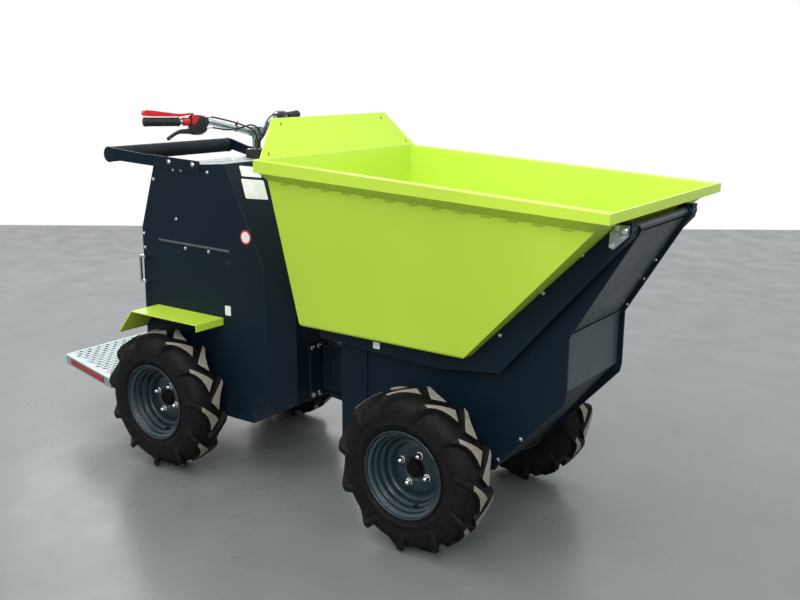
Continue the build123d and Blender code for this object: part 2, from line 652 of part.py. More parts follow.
def control_cables():
    """Cables from both switch housings to the foot of the stem."""
    face = HOUSING_PLACE + HOUSING_LENGTH + SEAT_GAP
    reach = STEM_RADIUS + SEAT_GAP + CABLE_RADIUS
    tubes = []
    for (rear, rise), foot_turn, between in CABLE_ROUTES:
        turn = math.radians(foot_turn)
        foot = (STEM_X + reach * math.cos(turn), reach * math.sin(turn))
        route = [on_bar(face, rear, rise), on_bar(face + CABLE_RUN, rear, rise), *between,
                 (*foot, CABLE_FOOT + STEM_RUN), (*foot, CABLE_FOOT)]
        radii = cable_arcs(route)
        print("cable arc radii", [round(radius) for radius in radii])
        path = FilletPolyline(*route, radius=radii)
        tubes.append(sweep(Plane(origin=path @ 0, z_dir=path % 0) * Circle(CABLE_RADIUS), path=path))
    return both_sides(Compound(tubes))


def stem():
    """Steering stem with its head clamp."""
    depth, half, rise = STEM_HEAD
    post = upright(STEM_X, 0, STEM_RADIUS, CONSOLE_Z + BEARING_SEAT, BAR_Z - BAR_RADIUS)
    head = block(STEM_X - depth, STEM_X + depth, -half, half, BAR_Z - rise, BAR_Z + rise)
    return post + head - cross_bar(STEM_X, BAR_Z, BAR_RADIUS + SEAT_GAP, -2 * half, 2 * half)


def stem_bearing():
    """Clamp block on the console in which the stem turns."""
    body = block(STEM_X - BEARING_REAR, STEM_X + BEARING_HALF, -BEARING_HALF, BEARING_HALF,
                 CONSOLE_Z + BEARING_RAISE, CONSOLE_Z + BEARING_TOP)
    return body - upright(STEM_X, 0, STEM_RADIUS + PIN_GAP, CONSOLE_Z + BEARING_SEAT - SEAT_GAP,
                          CONSOLE_Z + 2 * BEARING_TOP)


def deck_plan(inset):
    """Outline of the standing platform."""
    front, rear = DECK_FRONT - inset, DECK_REAR + inset
    front_half, rear_half = DECK_FRONT_HALF - inset, DECK_REAR_HALF - inset
    return [(front, front_half), (rear, rear_half), (rear, -rear_half), (front, -front_half)]


def platform_deck():
    """Standing platform with folded skirts and two hinge knuckles."""
    deck = plan_prism(deck_plan(0), DECK_TOP - DECK_SKIRT, DECK_TOP)
    deck = fillet(deck.edges().filter_by(Axis.Z).group_by(Axis.X)[0], DECK_CORNER)
    deck -= plan_prism(deck_plan(DECK_SHEET), DECK_TOP - DECK_SKIRT - 1, DECK_TOP - DECK_SHEET)
    for y in (-KNUCKLE_Y, KNUCKLE_Y):
        deck += block(DECK_FRONT - KNUCKLE_RISE, DECK_HINGE_X + KNUCKLE_RISE, y - KNUCKLE_HALF,
                      y + KNUCKLE_HALF, DECK_HINGE_Z - KNUCKLE_RISE, DECK_TOP)
    return deck - cross_bar(DECK_HINGE_X, DECK_HINGE_Z, DECK_PIN_RADIUS + PIN_GAP, -TOOL_REACH, TOOL_REACH)


def platform_hinge():
    """Two lugs with pins that carry the platform."""
    lug_in = KNUCKLE_HALF + LUG_SPACE
    lug_out = lug_in + PLATE
    base = DECK_PIN_RADIUS + DECK_LUG_EDGE
    body = None
    for y in (-KNUCKLE_Y, KNUCKLE_Y):
        foot = block(REAR_FACE - PLATE, REAR_FACE, y - LUG_BASE_HALF, y + LUG_BASE_HALF,
                     DECK_HINGE_Z - LUG_BASE_HALF, DECK_HINGE_Z + LUG_BASE_HALF)
        body = foot if body is None else body + foot
        for low, high in ((-lug_out, -lug_in), (lug_in, lug_out)):
            body += block(DECK_HINGE_X, REAR_FACE, y + low, y + high,
                          DECK_HINGE_Z - base, DECK_HINGE_Z + base)
            body += cross_bar(DECK_HINGE_X, DECK_HINGE_Z, base, y + low, y + high)
        body += cross_bar(DECK_HINGE_X, DECK_HINGE_Z, DECK_PIN_RADIUS, y - lug_out - 2, y + lug_out + 2)
    return body


def reflectors():
    """Red strip on each sloping side skirt of the platform."""
    taper = math.degrees(math.atan2(DECK_FRONT_HALF - DECK_REAR_HALF, DECK_FRONT - DECK_REAR))
    mid_x = (DECK_FRONT + DECK_REAR) / 2
    mid_y = (DECK_FRONT_HALF + DECK_REAR_HALF) / 2
    length, depth, height = REFLECTOR
    strip = Pos(mid_x, mid_y, DECK_TOP - DECK_SKIRT / 2) * Rot(0, 0, taper)
    return both_sides(strip * Pos(0, SEAT_GAP + depth / 2, 0) * Box(length, depth, height))


# ---- Front frame ---------------------------------------------------------------------------


def nose_outline():
    """Side plate outline of the front frame as (x, z) points."""
    hinge = (HINGE_X, HINGE_Z)
    corner_run, corner_drop = NOSE_CORNER
    return [(NOSE_REAR, NOSE_BOTTOM), (NOSE_BEVEL_X, NOSE_BOTTOM),
            (NOSE_KNEE_X - corner_run, NOSE_KNEE_LOW - corner_drop), (NOSE_KNEE_X, NOSE_KNEE_LOW),
            (NOSE_KNEE_X, NOSE_KNEE_HIGH), shifted(hinge, EAR_FRONT), shifted(hinge, EAR_TOP),
            shifted(hinge, EAR_REAR), shifted(hinge, EAR_NECK), (NOSE_TOP_END, NOSE_TOP),
            (NOSE_REAR, NOSE_TOP)]


def nose_plate(side):
    """Side plate of the front frame with the tub hinge's ear."""
    low, high = sorted((side * (NOSE_HALF - PLATE), side * NOSE_HALF))
    plate = side_prism(nose_outline(), low, high)
    plate -= axle_holes(WHEELBASE / 2)
    return plate - cross_bar(HINGE_X, HINGE_Z, HINGE_PIN_RADIUS + SEAT_GAP, -TOOL_REACH, TOOL_REACH)


def cover_upper():
    """Sloping upper front cover between the nose plates, folded back under the hinge tube."""
    ear_front = shifted((HINGE_X, HINGE_Z), EAR_FRONT)
    edge = (NOSE_KNEE_X - COVER_INSET, NOSE_KNEE_HIGH)
    run = (ear_front[0] - NOSE_KNEE_X) / (ear_front[1] - NOSE_KNEE_HIGH)
    top_z = HINGE_Z - HINGE_PIN_RADIUS - MOVE_GAP
    low = (edge[0] + run * WALL, edge[1] + WALL)
    high = (edge[0] + run * (top_z - edge[1]), top_z)
    profile = [low, high, (high[0] - COVER_FLANGE, high[1]), (high[0] - COVER_FLANGE, high[1] - WALL),
               (high[0] - WALL * (1 + run), high[1] - WALL), (low[0] - WALL, low[1])]
    return side_prism(profile, -COVER_HALF, COVER_HALF)


def cover_lower():
    """Upright lower front cover with a folded top lip."""
    face = NOSE_KNEE_X - COVER_INSET
    lip = face + COVER_LIP
    top = NOSE_KNEE_HIGH
    profile = [(face, NOSE_KNEE_LOW), (face, top - COVER_LIP), (lip, top - WALL), (lip, top),
               (face - WALL, top), (face - WALL, NOSE_KNEE_LOW)]
    return side_prism(profile, -COVER_HALF, COVER_HALF)


def belly_plate():
    """Bottom plate of the front frame, folded up along the bevel."""
    face = NOSE_KNEE_X - COVER_INSET
    rear = BULKHEAD_X + PLATE + SEAT_GAP
    low = NOSE_BOTTOM + PLATE / 2
    top = NOSE_KNEE_LOW - SEAT_GAP - 1
    profile = [(rear, low), (NOSE_BEVEL_X - PLATE, low), (face, top), (face - WALL - 1, top),
               (NOSE_BEVEL_X - PLATE - WALL / 2, low + WALL), (rear, low + WALL)]
    return side_prism(profile, -COVER_HALF, COVER_HALF)


def rear_bulkhead():
    """Upright channel at the back of the front frame, lapped over the nose plates."""
    outer = NOSE_HALF + PLATE + SEAT_GAP
    body = block(BULKHEAD_X, BULKHEAD_X + PLATE, -outer, outer, NOSE_BOTTOM, NOSE_TOP)
    for side in (-1, 1):
        low, high = sorted((side * (NOSE_HALF + SEAT_GAP), side * outer))
        body += block(BULKHEAD_X, BULKHEAD_X + POST_DEPTH, low, high, NOSE_BOTTOM, NOSE_TOP)
    return body


def hinge_tube():
    """Cross tube through both ears that the tub turns on."""
    end = CRADLE_HALF + HINGE_OVERHANG
    return cross_bar(HINGE_X, HINGE_Z, HINGE_PIN_RADIUS, -end, end)


def front_yoke():
    """Two plates with the articulation pin, on the bulkhead's back face."""
    face = BULKHEAD_X - SEAT_GAP
    eye = PIVOT_EYE_RADIUS
    plan = [(face, -YOKE_HALF), (face, YOKE_HALF), (YOKE_NECK, eye), (YOKE_NECK, -eye)]
    top = YOKE_HIGH + YOKE_PLATE
    body = block(face - PLATE, face, -YOKE_HALF, YOKE_HALF, YOKE_LOW - YOKE_FOOT, top + YOKE_FOOT)
    for z in (YOKE_LOW, YOKE_HIGH):
        body += plan_prism(plan, z, z + YOKE_PLATE) + upright(0, 0, eye, z, z + YOKE_PLATE)
    return body + upright(0, 0, PIVOT_PIN_RADIUS, YOKE_LOW - PIN_OVERHANG, top + PIN_OVERHANG)


def rear_bracket():
    """Pivot tube with its bracket on the cabinet's front, between the yoke plates."""
    low = YOKE_LOW + YOKE_PLATE + PIVOT_RUN
    high = YOKE_HIGH - PIVOT_RUN
    face = CAB_FRONT + SEAT_GAP
    body = upright(0, 0, PIVOT_TUBE_RADIUS, low, high)
    body += block(face, -YOKE_NECK, -PIVOT_TUBE_RADIUS, PIVOT_TUBE_RADIUS, low + WALL, high - WALL)
    body += block(face, face + BRACKET_PLATE, -BRACKET_HALF, BRACKET_HALF,
                  low - PIN_OVERHANG, high + PIN_OVERHANG)
    return body - upright(0, 0, PIVOT_PIN_RADIUS + PIN_GAP, low - 1, high + 1)


# ---- Tub -----------------------------------------------------------------------------------


def rim_height(x):
    """Height of the lip's top face."""
    return RIM_REAR[1] + RIM_SLOPE * (x - RIM_REAR[0])


def rear_wall_x(z, inset):
    """Place of the tub's rear wall at a height, moved in by a wall thickness."""
    return TUB_FLOOR_REAR + inset * math.hypot(1, TUB_REAR_SLOPE) + TUB_REAR_SLOPE * (z - TUB_FLOOR)


def front_wall_x(z, inset):
    """Place of the tub's front wall at a height, moved in by a wall thickness."""
    return TUB_FLOOR_FRONT - inset * math.hypot(1, TUB_FRONT_SLOPE) + TUB_FRONT_SLOPE * (z - TUB_FLOOR)


def side_wall_y(z, inset):
    """Half width of the tub at a height, moved in by a wall thickness."""
    return TUB_FLOOR_HALF - inset * math.hypot(1, TUB_SIDE_SLOPE) + TUB_SIDE_SLOPE * (z - TUB_FLOOR)


def tub_span(inset):
    """Everything between the tub's rear and front walls, above its floor."""
    low, high = TUB_FLOOR + inset, RIM_REAR[1] + SPLASH_HEIGHT
    return side_prism([(rear_wall_x(low, inset), low), (front_wall_x(low, inset), low),
                       (front_wall_x(high, inset), high), (rear_wall_x(high, inset), high)],
                      -TOOL_REACH, TOOL_REACH)


def tub_form(inset):
    """Closed form of the tub, moved in by a wall thickness."""
    low, high = TUB_FLOOR + inset, RIM_REAR[1] + SPLASH_HEIGHT
    half_low, half_high = side_wall_y(low, inset), side_wall_y(high, inset)
    front = [(-half_low, low), (half_low, low), (half_high, high), (-half_high, high)]
    return tub_span(inset) & front_prism(front, -TOOL_REACH, TOOL_REACH)


def above_rim(drop):
    """Everything above a plane that lies at a drop below the lip's top face."""
    rear, front = -TOOL_REACH, TOOL_REACH
    return side_prism([(rear, rim_height(rear) - drop), (front, rim_height(front) - drop),
                       (front, TOOL_REACH), (rear, TOOL_REACH)], -TOOL_REACH, TOOL_REACH)


def tub_shell():
    """Tub walls and floor."""
    outer, inner = tub_form(0), tub_form(WALL)
    outer = fillet(outer.edges().group_by(Axis.Z)[0], TUB_EDGE_RADIUS)
    inner = fillet(inner.edges().group_by(Axis.Z)[0], TUB_EDGE_RADIUS - WALL)
    return outer - inner - above_rim(WALL)


def lip_form(inset):
    """Closed form of the folded lip with its slanted side undersides, moved in by a wall thickness."""
    rear, front = RIM_REAR[0] + inset, RIM_FRONT[0] - inset
    rear_low = rim_height(rear) - LIP_DROP_REAR + inset
    front_low = rim_height(front) - LIP_DROP_FRONT + inset
    half = RIM_HALF - inset
    band = side_prism([(rear, rim_height(rear) - inset), (front, rim_height(front) - inset),
                       (front, front_low), (rear, rear_low)], -half, half)
    depth = 3 * LIP_WIDTH
    section = Polyline((rear, half, rear_low), (rear, half - depth, rear_low - LIP_RETURN * depth),
                       (rear, half - depth, rear_low + inset + 1), (rear, half, rear_low + inset + 1),
                       close=True)
    run, rise = front - rear, front_low - rear_low
    under = extrude(make_face(section), amount=math.hypot(run, rise), dir=(run, 0, rise)) & tub_span(inset)
    return band + under + mirror(under, about=Plane.XZ)


def tub_lip():
    """Folded lip round the tub's mouth: top flange, skirt and slanted side undersides."""
    walls = tub_form(-SEAT_GAP) - above_rim(WALL)
    return lip_form(0) - lip_form(WALL) - walls - tub_form(WALL)


def splash_board():
    """Trapezoid board that stands on the rear lip in line with the rear wall and leans back."""
    high_z = RIM_REAR[1] + SPLASH_HEIGHT
    low_half, top_half = RIM_HALF - SPLASH_LOW_INSET, RIM_HALF - SPLASH_TOP_INSET
    front = rear_wall_x(RIM_REAR[1], WALL)
    rear = front - WALL
    low_front, low_rear = rim_height(front) + SEAT_GAP, rim_height(rear) + SEAT_GAP
    side = [(front, low_front), (rear, low_rear), (rear - SPLASH_LEAN, high_z),
            (front - SPLASH_LEAN, high_z)]
    outline = [(-low_half, low_front), (low_half, low_front), (top_half, high_z), (-top_half, high_z)]
    return side_prism(side, -low_half, low_half) & front_prism(outline, -TOOL_REACH, TOOL_REACH)


def under_slope(x):
    """Height just below the tub's front wall, where its carriers bear."""
    top = TUB_FLOOR - SEAT_GAP
    return top + (x - TUB_FLOOR_FRONT - 2) / TUB_FRONT_SLOPE


def ram_lugs():
    """Pair of lugs under the tub's front slope, one each side of the rod's eye."""
    eye_x, eye_z = RAM_EYE
    rear, front = eye_x - LUG_REAR, eye_x + LUG_FRONT
    outline = [(rear, under_slope(rear)), (eye_x - LUG_FRONT, eye_z - EYE_RADIUS + LUG_EDGE),
               (eye_x, eye_z - EYE_RADIUS), (front, eye_z - EYE_RADIUS + 2 * LUG_EDGE),
               (front, under_slope(front))]
    inner = EYE_HALF + MOVE_GAP
    return both_sides(side_prism(outline, inner, inner + PLATE))


def cradle_channel(inner):
    """Left side channel of the cradle, open inward, with its hinge boss."""
    top = TUB_FLOOR - SEAT_GAP
    reach = CRADLE_EAR_REACH
    neck = HINGE_X - CRADLE_NECK
    outline = [(CRADLE_REAR, top), (CRADLE_REAR, top - CRADLE_REAR_DEPTH), CRADLE_LOW_REAR,
               CRADLE_LOW_FRONT, (HINGE_X + reach - WALL, HINGE_Z - reach),
               (HINGE_X + reach, HINGE_Z + reach), (HINGE_X - reach + PLATE, HINGE_Z + reach),
               (neck, under_slope(neck)), (TUB_FLOOR_FRONT + 2, top)]
    channel = side_prism(outline, inner, CRADLE_HALF)
    web = CRADLE_HALF - PLATE
    face = make_face(Polyline(*[(x, web, z) for x, z in outline], close=True))
    inside = offset(face, amount=-PLATE, kind=Kind.INTERSECTION)
    pocket = extrude(inside, amount=CRADLE_HALF, dir=(0, -1, 0))
    return channel - pocket + cross_bar(HINGE_X, HINGE_Z, 2 * HINGE_PIN_RADIUS - WALL, inner, CRADLE_HALF)


def tipping_cradle():
    """Folded sub-frame under the tub: two side channels, cross plates and the cylinder's lugs."""
    top = TUB_FLOOR - SEAT_GAP
    channel = cradle_channel(NOSE_HALF + PLATE + 2 * SEAT_GAP + MOVE_GAP)
    cradle = channel + mirror(channel, about=Plane.XZ)
    for rear, front in CROSS_PLATES:
        cradle += block(rear, front, -CRADLE_HALF, CRADLE_HALF, top - CROSS_SHEET, top)
    low, high = RAM_EYE[0] - LUG_REAR, RAM_EYE[0] + LUG_FRONT
    slope_plate = [(low, under_slope(low)), (high, under_slope(high)),
                   (high + PLATE, under_slope(high) - PLATE), (low + PLATE, under_slope(low) - PLATE)]
    cradle += side_prism(slope_plate, -CRADLE_HALF, CRADLE_HALF)
    cradle += ram_lugs()
    return cradle - cross_bar(HINGE_X, HINGE_Z, HINGE_PIN_RADIUS + PIN_GAP, -TOOL_REACH, TOOL_REACH)


# ---- Tipping cylinder ------------------------------------------------------------------------


def ram_bar(radius, start, length):
    """Round bar along the cylinder's line, from a distance beyond its base pin."""
    plane = Plane(origin=(RAM_BASE[0], 0, RAM_BASE[1]), x_dir=(0, 1, 0),
                  z_dir=(math.cos(RAM_ANGLE), 0, math.sin(RAM_ANGLE)))
    return plane * (Pos(0, 0, start + length / 2) * Cylinder(radius, length))


def eye(at, body):
    """A bar with a bored eye at one of the cylinder's pins."""
    body += cross_bar(at[0], at[1], EYE_RADIUS, -EYE_HALF, EYE_HALF)
    return body - cross_bar(at[0], at[1], EYE_PIN_RADIUS + PIN_GAP, -TOOL_REACH, TOOL_REACH)


def ram_barrel():
    """Cylinder barrel with its base eye."""
    barrel = ram_bar(BARREL_RADIUS, BARREL_FOOT, RAM_LENGTH - GLAND_BACK - BARREL_FOOT)
    return eye(RAM_BASE, barrel) - ram_bar(ROD_RADIUS + PIN_GAP, BORE_FOOT, RAM_LENGTH)


def ram_rod():
    """Cylinder rod with its eye."""
    return eye(RAM_EYE, ram_bar(ROD_RADIUS, ROD_FOOT, RAM_LENGTH - ROD_FOOT))


def ram_base_pin():
    """Cross pin between the nose plates that carries the cylinder's base."""
    return cross_bar(RAM_BASE[0], RAM_BASE[1], EYE_PIN_RADIUS, -COVER_HALF, COVER_HALF)


# ---- Write every node --------------------------------------------------------------------


def main():
    """Build the dumper."""
    os.makedirs("parts", exist_ok=True)
    wheels()
    nodes = {
        "front_axle": axle(WHEELBASE / 2),
        "rear_axle": axle(-WHEELBASE / 2),
        "cabinet_shell": cabinet_shell(),
        "cabinet_rear_panel": rear_panel(),
        "console_top": console_top(),
        "cabinet_pulls": cabinet_pulls(),
        "fender_left": fender(1),
        "fender_right": fender(-1),
        "battery_pack": battery_pack(),
        "hip_bar": hip_bar(),
        "hip_bar_arms": hip_arms(),
        "handlebar_tube": handlebar_tube(),
        "grips": grips(),
        "switch_housings": switch_housings(),
        "brake_levers": brake_levers(),
        "safety_lever": safety_lever(),
        "control_cables": control_cables(),
        "steering_stem": stem(),
        "stem_bearing": stem_bearing(),
        "platform_deck": platform_deck(),
        "platform_hinge": platform_hinge(),
        "reflectors": reflectors(),
        "nose_plate_left": nose_plate(1),
        "nose_plate_right": nose_plate(-1),
        "front_cover_upper": cover_upper(),
        "front_cover_lower": cover_lower(),
        "belly_plate": belly_plate(),
        "rear_bulkhead": rear_bulkhead(),
        "hinge_tube": hinge_tube(),
        "front_yoke": front_yoke(),
        "rear_bracket": rear_bracket(),
        "tub_shell": tub_shell(),
        "tub_lip": tub_lip(),
        "splash_board": splash_board(),
        "tipping_cradle": tipping_cradle(),
        "tip_cylinder_barrel": ram_barrel(),
        "tip_cylinder_rod": ram_rod(),
        "tip_cylinder_pin": ram_base_pin(),
    }
    for name, shape in nodes.items():
        save(name, shape)


main()
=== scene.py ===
import bpy
import bmesh
import random
from math import atan2, cos, degrees, pi, radians, sin, tan
from mathutils import Matrix, Vector


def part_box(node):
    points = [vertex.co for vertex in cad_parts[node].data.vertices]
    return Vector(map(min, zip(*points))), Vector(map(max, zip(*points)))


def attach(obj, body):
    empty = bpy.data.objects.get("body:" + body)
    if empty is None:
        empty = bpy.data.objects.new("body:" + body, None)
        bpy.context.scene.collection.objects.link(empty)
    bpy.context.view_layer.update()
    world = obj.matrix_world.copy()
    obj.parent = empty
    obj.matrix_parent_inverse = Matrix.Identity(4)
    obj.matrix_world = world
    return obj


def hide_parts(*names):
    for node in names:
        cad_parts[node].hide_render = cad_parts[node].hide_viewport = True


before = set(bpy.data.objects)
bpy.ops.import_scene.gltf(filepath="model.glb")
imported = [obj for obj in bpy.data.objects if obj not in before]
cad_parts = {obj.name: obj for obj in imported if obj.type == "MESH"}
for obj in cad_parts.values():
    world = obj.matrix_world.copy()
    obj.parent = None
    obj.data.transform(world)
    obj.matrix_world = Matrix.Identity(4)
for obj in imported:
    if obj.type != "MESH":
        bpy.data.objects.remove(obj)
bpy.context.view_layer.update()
random.seed(7)
scene = bpy.context.scene

# Articulated site dumper: finishes, tyres, wheels, controls, fasteners and labels over the CAD frame.
# Metres, +X forward, +Y left, +Z up. Places written as (x, y, z) are measured from the ground
# under the articulation pin, and at() moves them into the shared frame. Lists of profile points
# and of places are written in millimetres, and mm() turns them into metres.

YOKE_EYE = 0.050  # front of the yoke to the pin's axis
PIN_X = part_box("front_yoke")[0].x + YOKE_EYE
CAB_HALF = 0.250  # half widths of the cabinet and the nose
NOSE_HALF = 0.202

# ---- Places ----

UP = (0, 0, 1)
HALVES = (-1, 1)  # right and left


def mm(points):
    """Points written in millimetres, in metres."""
    return [tuple(value / 1000 for value in point) for point in points]


def at(x, y, z):
    """Point measured from the articulation pin, in the shared frame."""
    return Vector((x + PIN_X, y, z))


def mirrored(points):
    """Points with the sign of their second value turned, in reverse order."""
    return [(a, -b) for a, b in reversed(points)]


def between(first, second, share):
    """Point at a share of the way from one to another."""
    return tuple(a + (b - a) * share for a, b in zip(first, second))


def shown(name, data):
    """An object in the scene, from its mesh, curve, lamp or camera."""
    made = bpy.data.objects.new(name, data)
    scene.collection.objects.link(made)
    return made


# ---- Shader helpers ----


def add_node(tree, kind, sockets=None, **settings):
    """A node with its settings, and with its sockets fed by values or by other sockets."""
    made = tree.nodes.new("ShaderNode" + kind)
    for key, value in settings.items():
        setattr(made, key, value)
    for key, value in (sockets or {}).items():
        if hasattr(value, "links"):
            tree.links.new(value, made.inputs[key])
        else:
            made.inputs[key].default_value = value
    return made


class Shader:
    """A node material with short calls for the nodes that every finish here uses."""

    def __init__(self, name, color, rough, metallic=0.0, coat=0.0, coat_rough=0.1, specular=0.5):
        self.mat = bpy.data.materials.new(name)
        self.mat.use_nodes = True
        self.tree = self.mat.node_tree
        self.bsdf = self.tree.nodes["Principled BSDF"]
        self.mat.diffuse_color = (*color, 1)
        values = {"Base Color": (*color, 1), "Roughness": rough, "Metallic": metallic, "Coat Weight": coat,
                  "Coat Roughness": coat_rough, "Specular IOR Level": specular}
        for socket, value in values.items():
            self.bsdf.inputs[socket].default_value = value
        self.coords = self.node("TexCoord").outputs["Object"]

    def link(self, source, target):
        self.tree.links.new(source, target)

    def node(self, kind, sockets=None, **settings):
        return add_node(self.tree, kind, sockets, **settings)

    def noise(self, scale, detail=3.0, rough=0.5, stretch=None):
        """Noise over the object, in features per metre."""
        vector = self.coords
        if stretch:
            vector = self.node("Mapping", {"Scale": stretch, "Vector": vector}).outputs[0]
        sockets = {"Scale": scale, "Detail": detail, "Roughness": rough, "Vector": vector}
        return self.node("TexNoise", sockets).outputs["Fac"]

    def ramp(self, source, low, high, to_low=0.0, to_high=1.0):
        """Source between two values, stretched to two others."""
        sockets = dict(enumerate((source, low, high, to_low, to_high)))
        return self.node("MapRange", sockets).outputs[0]

    def mix(self, share, first, second):
        """Colour between two, by a share; each is a colour or a socket."""
        first, second = ((*color, 1) if isinstance(color, tuple) else color for color in (first, second))
        return self.node("Mix", {0: share, 6: first, 7: second}, data_type="RGBA").outputs[2]

    def math(self, kind, first, second):
        """Result of a sum on two values or sockets."""
        return self.node("Math", {0: first, 1: second}, operation=kind).outputs[0]

    def bevel(self, radius):
        """Normal with the edges rounded in the shading."""
        return self.node("Bevel", {"Radius": radius}, samples=4).outputs[0]

    def edge(self, radius, low, high):
        """Near 1 on sharp edges and 0 on flats."""
        flat = self.node("NewGeometry").outputs["Normal"]
        dot = self.node("VectorMath", {0: self.bevel(radius), 1: flat}, operation="DOT_PRODUCT")
        return self.ramp(self.math("SUBTRACT", 1.0, dot.outputs["Value"]), low, high)

    def bump(self, source, height, strength, round_edges=0.0):
        """Bump from a source, with edges rounded in the shading if asked."""
        sockets = {"Strength": strength, "Distance": height, "Height": source}
        if round_edges:
            sockets["Normal"] = self.bevel(round_edges)
        self.link(self.node("Bump", sockets).outputs[0], self.bsdf.inputs["Normal"])

    def color(self, source):
        self.link(source, self.bsdf.inputs["Base Color"])

    def rough(self, source):
        self.link(source, self.bsdf.inputs["Roughness"])


# ---- Finishes ----

DUST = (0.20, 0.185, 0.16)
DUST_TOP = 0.35  # height up to which dust lies


def powder_coat(name, color, rough, coat, edge_highlight, dust=0.0, specular=0.5):
    """Powder-coated sheet: fine orange peel, faint shade changes, painted highlights that make the edges
    paler, and low dust.
    """
    made = Shader(name, color, rough, coat=coat, coat_rough=0.12, specular=specular)
    broad = made.ramp(made.noise(1.6, 2.0), 0.35, 0.65)
    shade = tuple(channel * 0.90 for channel in color)
    tint = made.mix(broad, shade, color)
    # Painted highlight: sharp edges and folds are mixed towards a paler colour, as where light catches them.
    tint = made.mix(made.edge(0.0022, 0.03, 0.30), tint, edge_highlight)
    if dust:
        height = made.node("SeparateXYZ", {0: made.coords})
        low = made.ramp(height.outputs[2], DUST_TOP, 0.0)
        patch = made.ramp(made.noise(26.0, 6.0, 0.65), 0.45, 0.72)
        share = made.math("MULTIPLY", made.math("MULTIPLY", low, patch), dust)
        tint = made.mix(share, tint, DUST)
    made.color(tint)
    made.rough(made.ramp(made.noise(9.0, 4.0), 0.3, 0.7, rough - 0.05, rough + 0.07))
    made.bump(made.noise(620.0, 2.0), 0.00022, 0.35, round_edges=0.0015)
    return made.mat


def metal(name, color, rough, grain=(1, 1, 1), scale=90.0, bump=0.00006, spread=0.12):
    """Bare or plated metal with a directional grain."""
    made = Shader(name, color, rough, metallic=1.0)
    grainy = made.noise(scale, 5.0, 0.6, stretch=grain)
    dark = tuple(channel * 0.72 for channel in color)
    made.color(made.mix(made.ramp(grainy, 0.3, 0.7), dark, color))
    made.rough(made.ramp(grainy, 0.25, 0.75, max(rough - spread, 0.03), rough + spread))
    made.bump(grainy, bump, 0.6, round_edges=0.0007)
    return made.mat


def galvanised():
    """Zinc sheet with broad crystal patches."""
    made = Shader("galvanised_zinc", (0.40, 0.45, 0.47), 0.42, metallic=0.75, specular=0.4)
    cells = made.node("TexVoronoi", {"Scale": 120.0, "Vector": made.coords})
    gray = made.node("RGBToBW", {0: cells.outputs["Color"]})
    patches = made.ramp(gray.outputs[0], 0.1, 0.9)
    stain = made.ramp(made.noise(7.0, 5.0, 0.6), 0.4, 0.75)
    tint = made.mix(patches, (0.36, 0.42, 0.44), (0.47, 0.54, 0.56))
    made.color(made.mix(made.math("MULTIPLY", stain, 0.35), tint, (0.32, 0.35, 0.36)))
    made.rough(made.ramp(patches, 0.0, 1.0, 0.34, 0.50))
    made.bump(patches, 0.00004, 0.5, round_edges=0.0008)
    return made.mat


def tyre_rubber():
    """Black tyre rubber with dry dust in the hollows."""
    made = Shader("tyre_black_rubber", (0.006, 0.006, 0.0065), 0.62, specular=0.13)
    patch = made.ramp(made.noise(34.0, 6.0, 0.6), 0.42, 0.75)
    fine = made.noise(260.0, 3.0)
    tint = made.mix(made.math("MULTIPLY", patch, 0.35), (0.0045, 0.0045, 0.0050), (0.020, 0.019, 0.018))
    made.color(tint)
    made.rough(made.ramp(fine, 0.3, 0.7, 0.50, 0.72))
    made.bump(fine, 0.0003, 0.5)
    return made.mat


def lug_top():
    """Worn lug face, coated with pale dust."""
    made = Shader("tyre_dusty_lug_face", (0.26, 0.235, 0.20), 0.85, specular=0.25)
    patch = made.ramp(made.noise(70.0, 6.0, 0.7), 0.30, 0.70)
    streak = made.ramp(made.noise(240.0, 4.0), 0.35, 0.70)
    tint = made.mix(patch, (0.215, 0.19, 0.16), (0.31, 0.285, 0.245))
    made.color(made.mix(made.math("MULTIPLY", streak, 0.5), tint, (0.15, 0.135, 0.115)))
    made.bump(streak, 0.0004, 0.5)
    return made.mat


def moulded(name, color, rough, scale=420.0, depth=0.00012, specular=0.5):
    """Moulded plastic or rubber with a fine grain."""
    made = Shader(name, color, rough, specular=specular)
    fine = made.noise(scale, 3.0)
    broad = made.ramp(made.noise(18.0, 3.0), 0.35, 0.7)
    pale = tuple(min(channel * 1.35 + 0.004, 1.0) for channel in color)
    made.color(made.mix(broad, color, pale))
    made.rough(made.ramp(fine, 0.3, 0.7, rough - 0.07, rough + 0.08))
    made.bump(fine, depth, 0.5, round_edges=0.0008)
    return made.mat


def reflector_red():
    """Red reflex plate: a fine prism grid under a gloss face."""
    made = Shader("reflex_red", (0.40, 0.005, 0.006), 0.26, coat=0.15, coat_rough=0.08, specular=0.25)
    waves = []
    for turn in (45, 135):
        turned = {"Rotation": (0, radians(turn), 0), "Vector": made.coords}
        sockets = {"Scale": 62.0, "Vector": made.node("Mapping", turned).outputs[0]}
        wave = made.node("TexWave", sockets, wave_type="BANDS", bands_direction="X")
        waves.append(wave.outputs["Fac"])
    grid = made.math("MULTIPLY", waves[0], waves[1])
    made.color(made.mix(grid, (0.24, 0.003, 0.004), (0.50, 0.008, 0.010)))
    made.bump(grid, 0.0004, 0.6)
    return made.mat


def foam_padding():
    """Matt closed-cell foam sleeve."""
    made = Shader("padding_foam", (0.009, 0.012, 0.015), 0.70, specular=0.16)
    cells = made.noise(900.0, 2.0)
    broad = made.ramp(made.noise(12.0, 4.0), 0.35, 0.7)
    made.color(made.mix(broad, (0.008, 0.0105, 0.0135), (0.014, 0.018, 0.023)))
    made.bump(cells, 0.00035, 0.6)
    return made.mat


def label_white():
    """Blank matt label film."""
    made = Shader("label_blank", (0.74, 0.75, 0.76), 0.38)
    made.color(made.mix(made.ramp(made.noise(40.0, 4.0), 0.4, 0.7), (0.70, 0.71, 0.72), (0.80, 0.81, 0.82)))
    made.bump(made.noise(500.0), 0.00005, 0.4)
    return made.mat


LIME = (0.49, 0.71, 0.053)
SLATE = (0.0042, 0.0115, 0.0200)

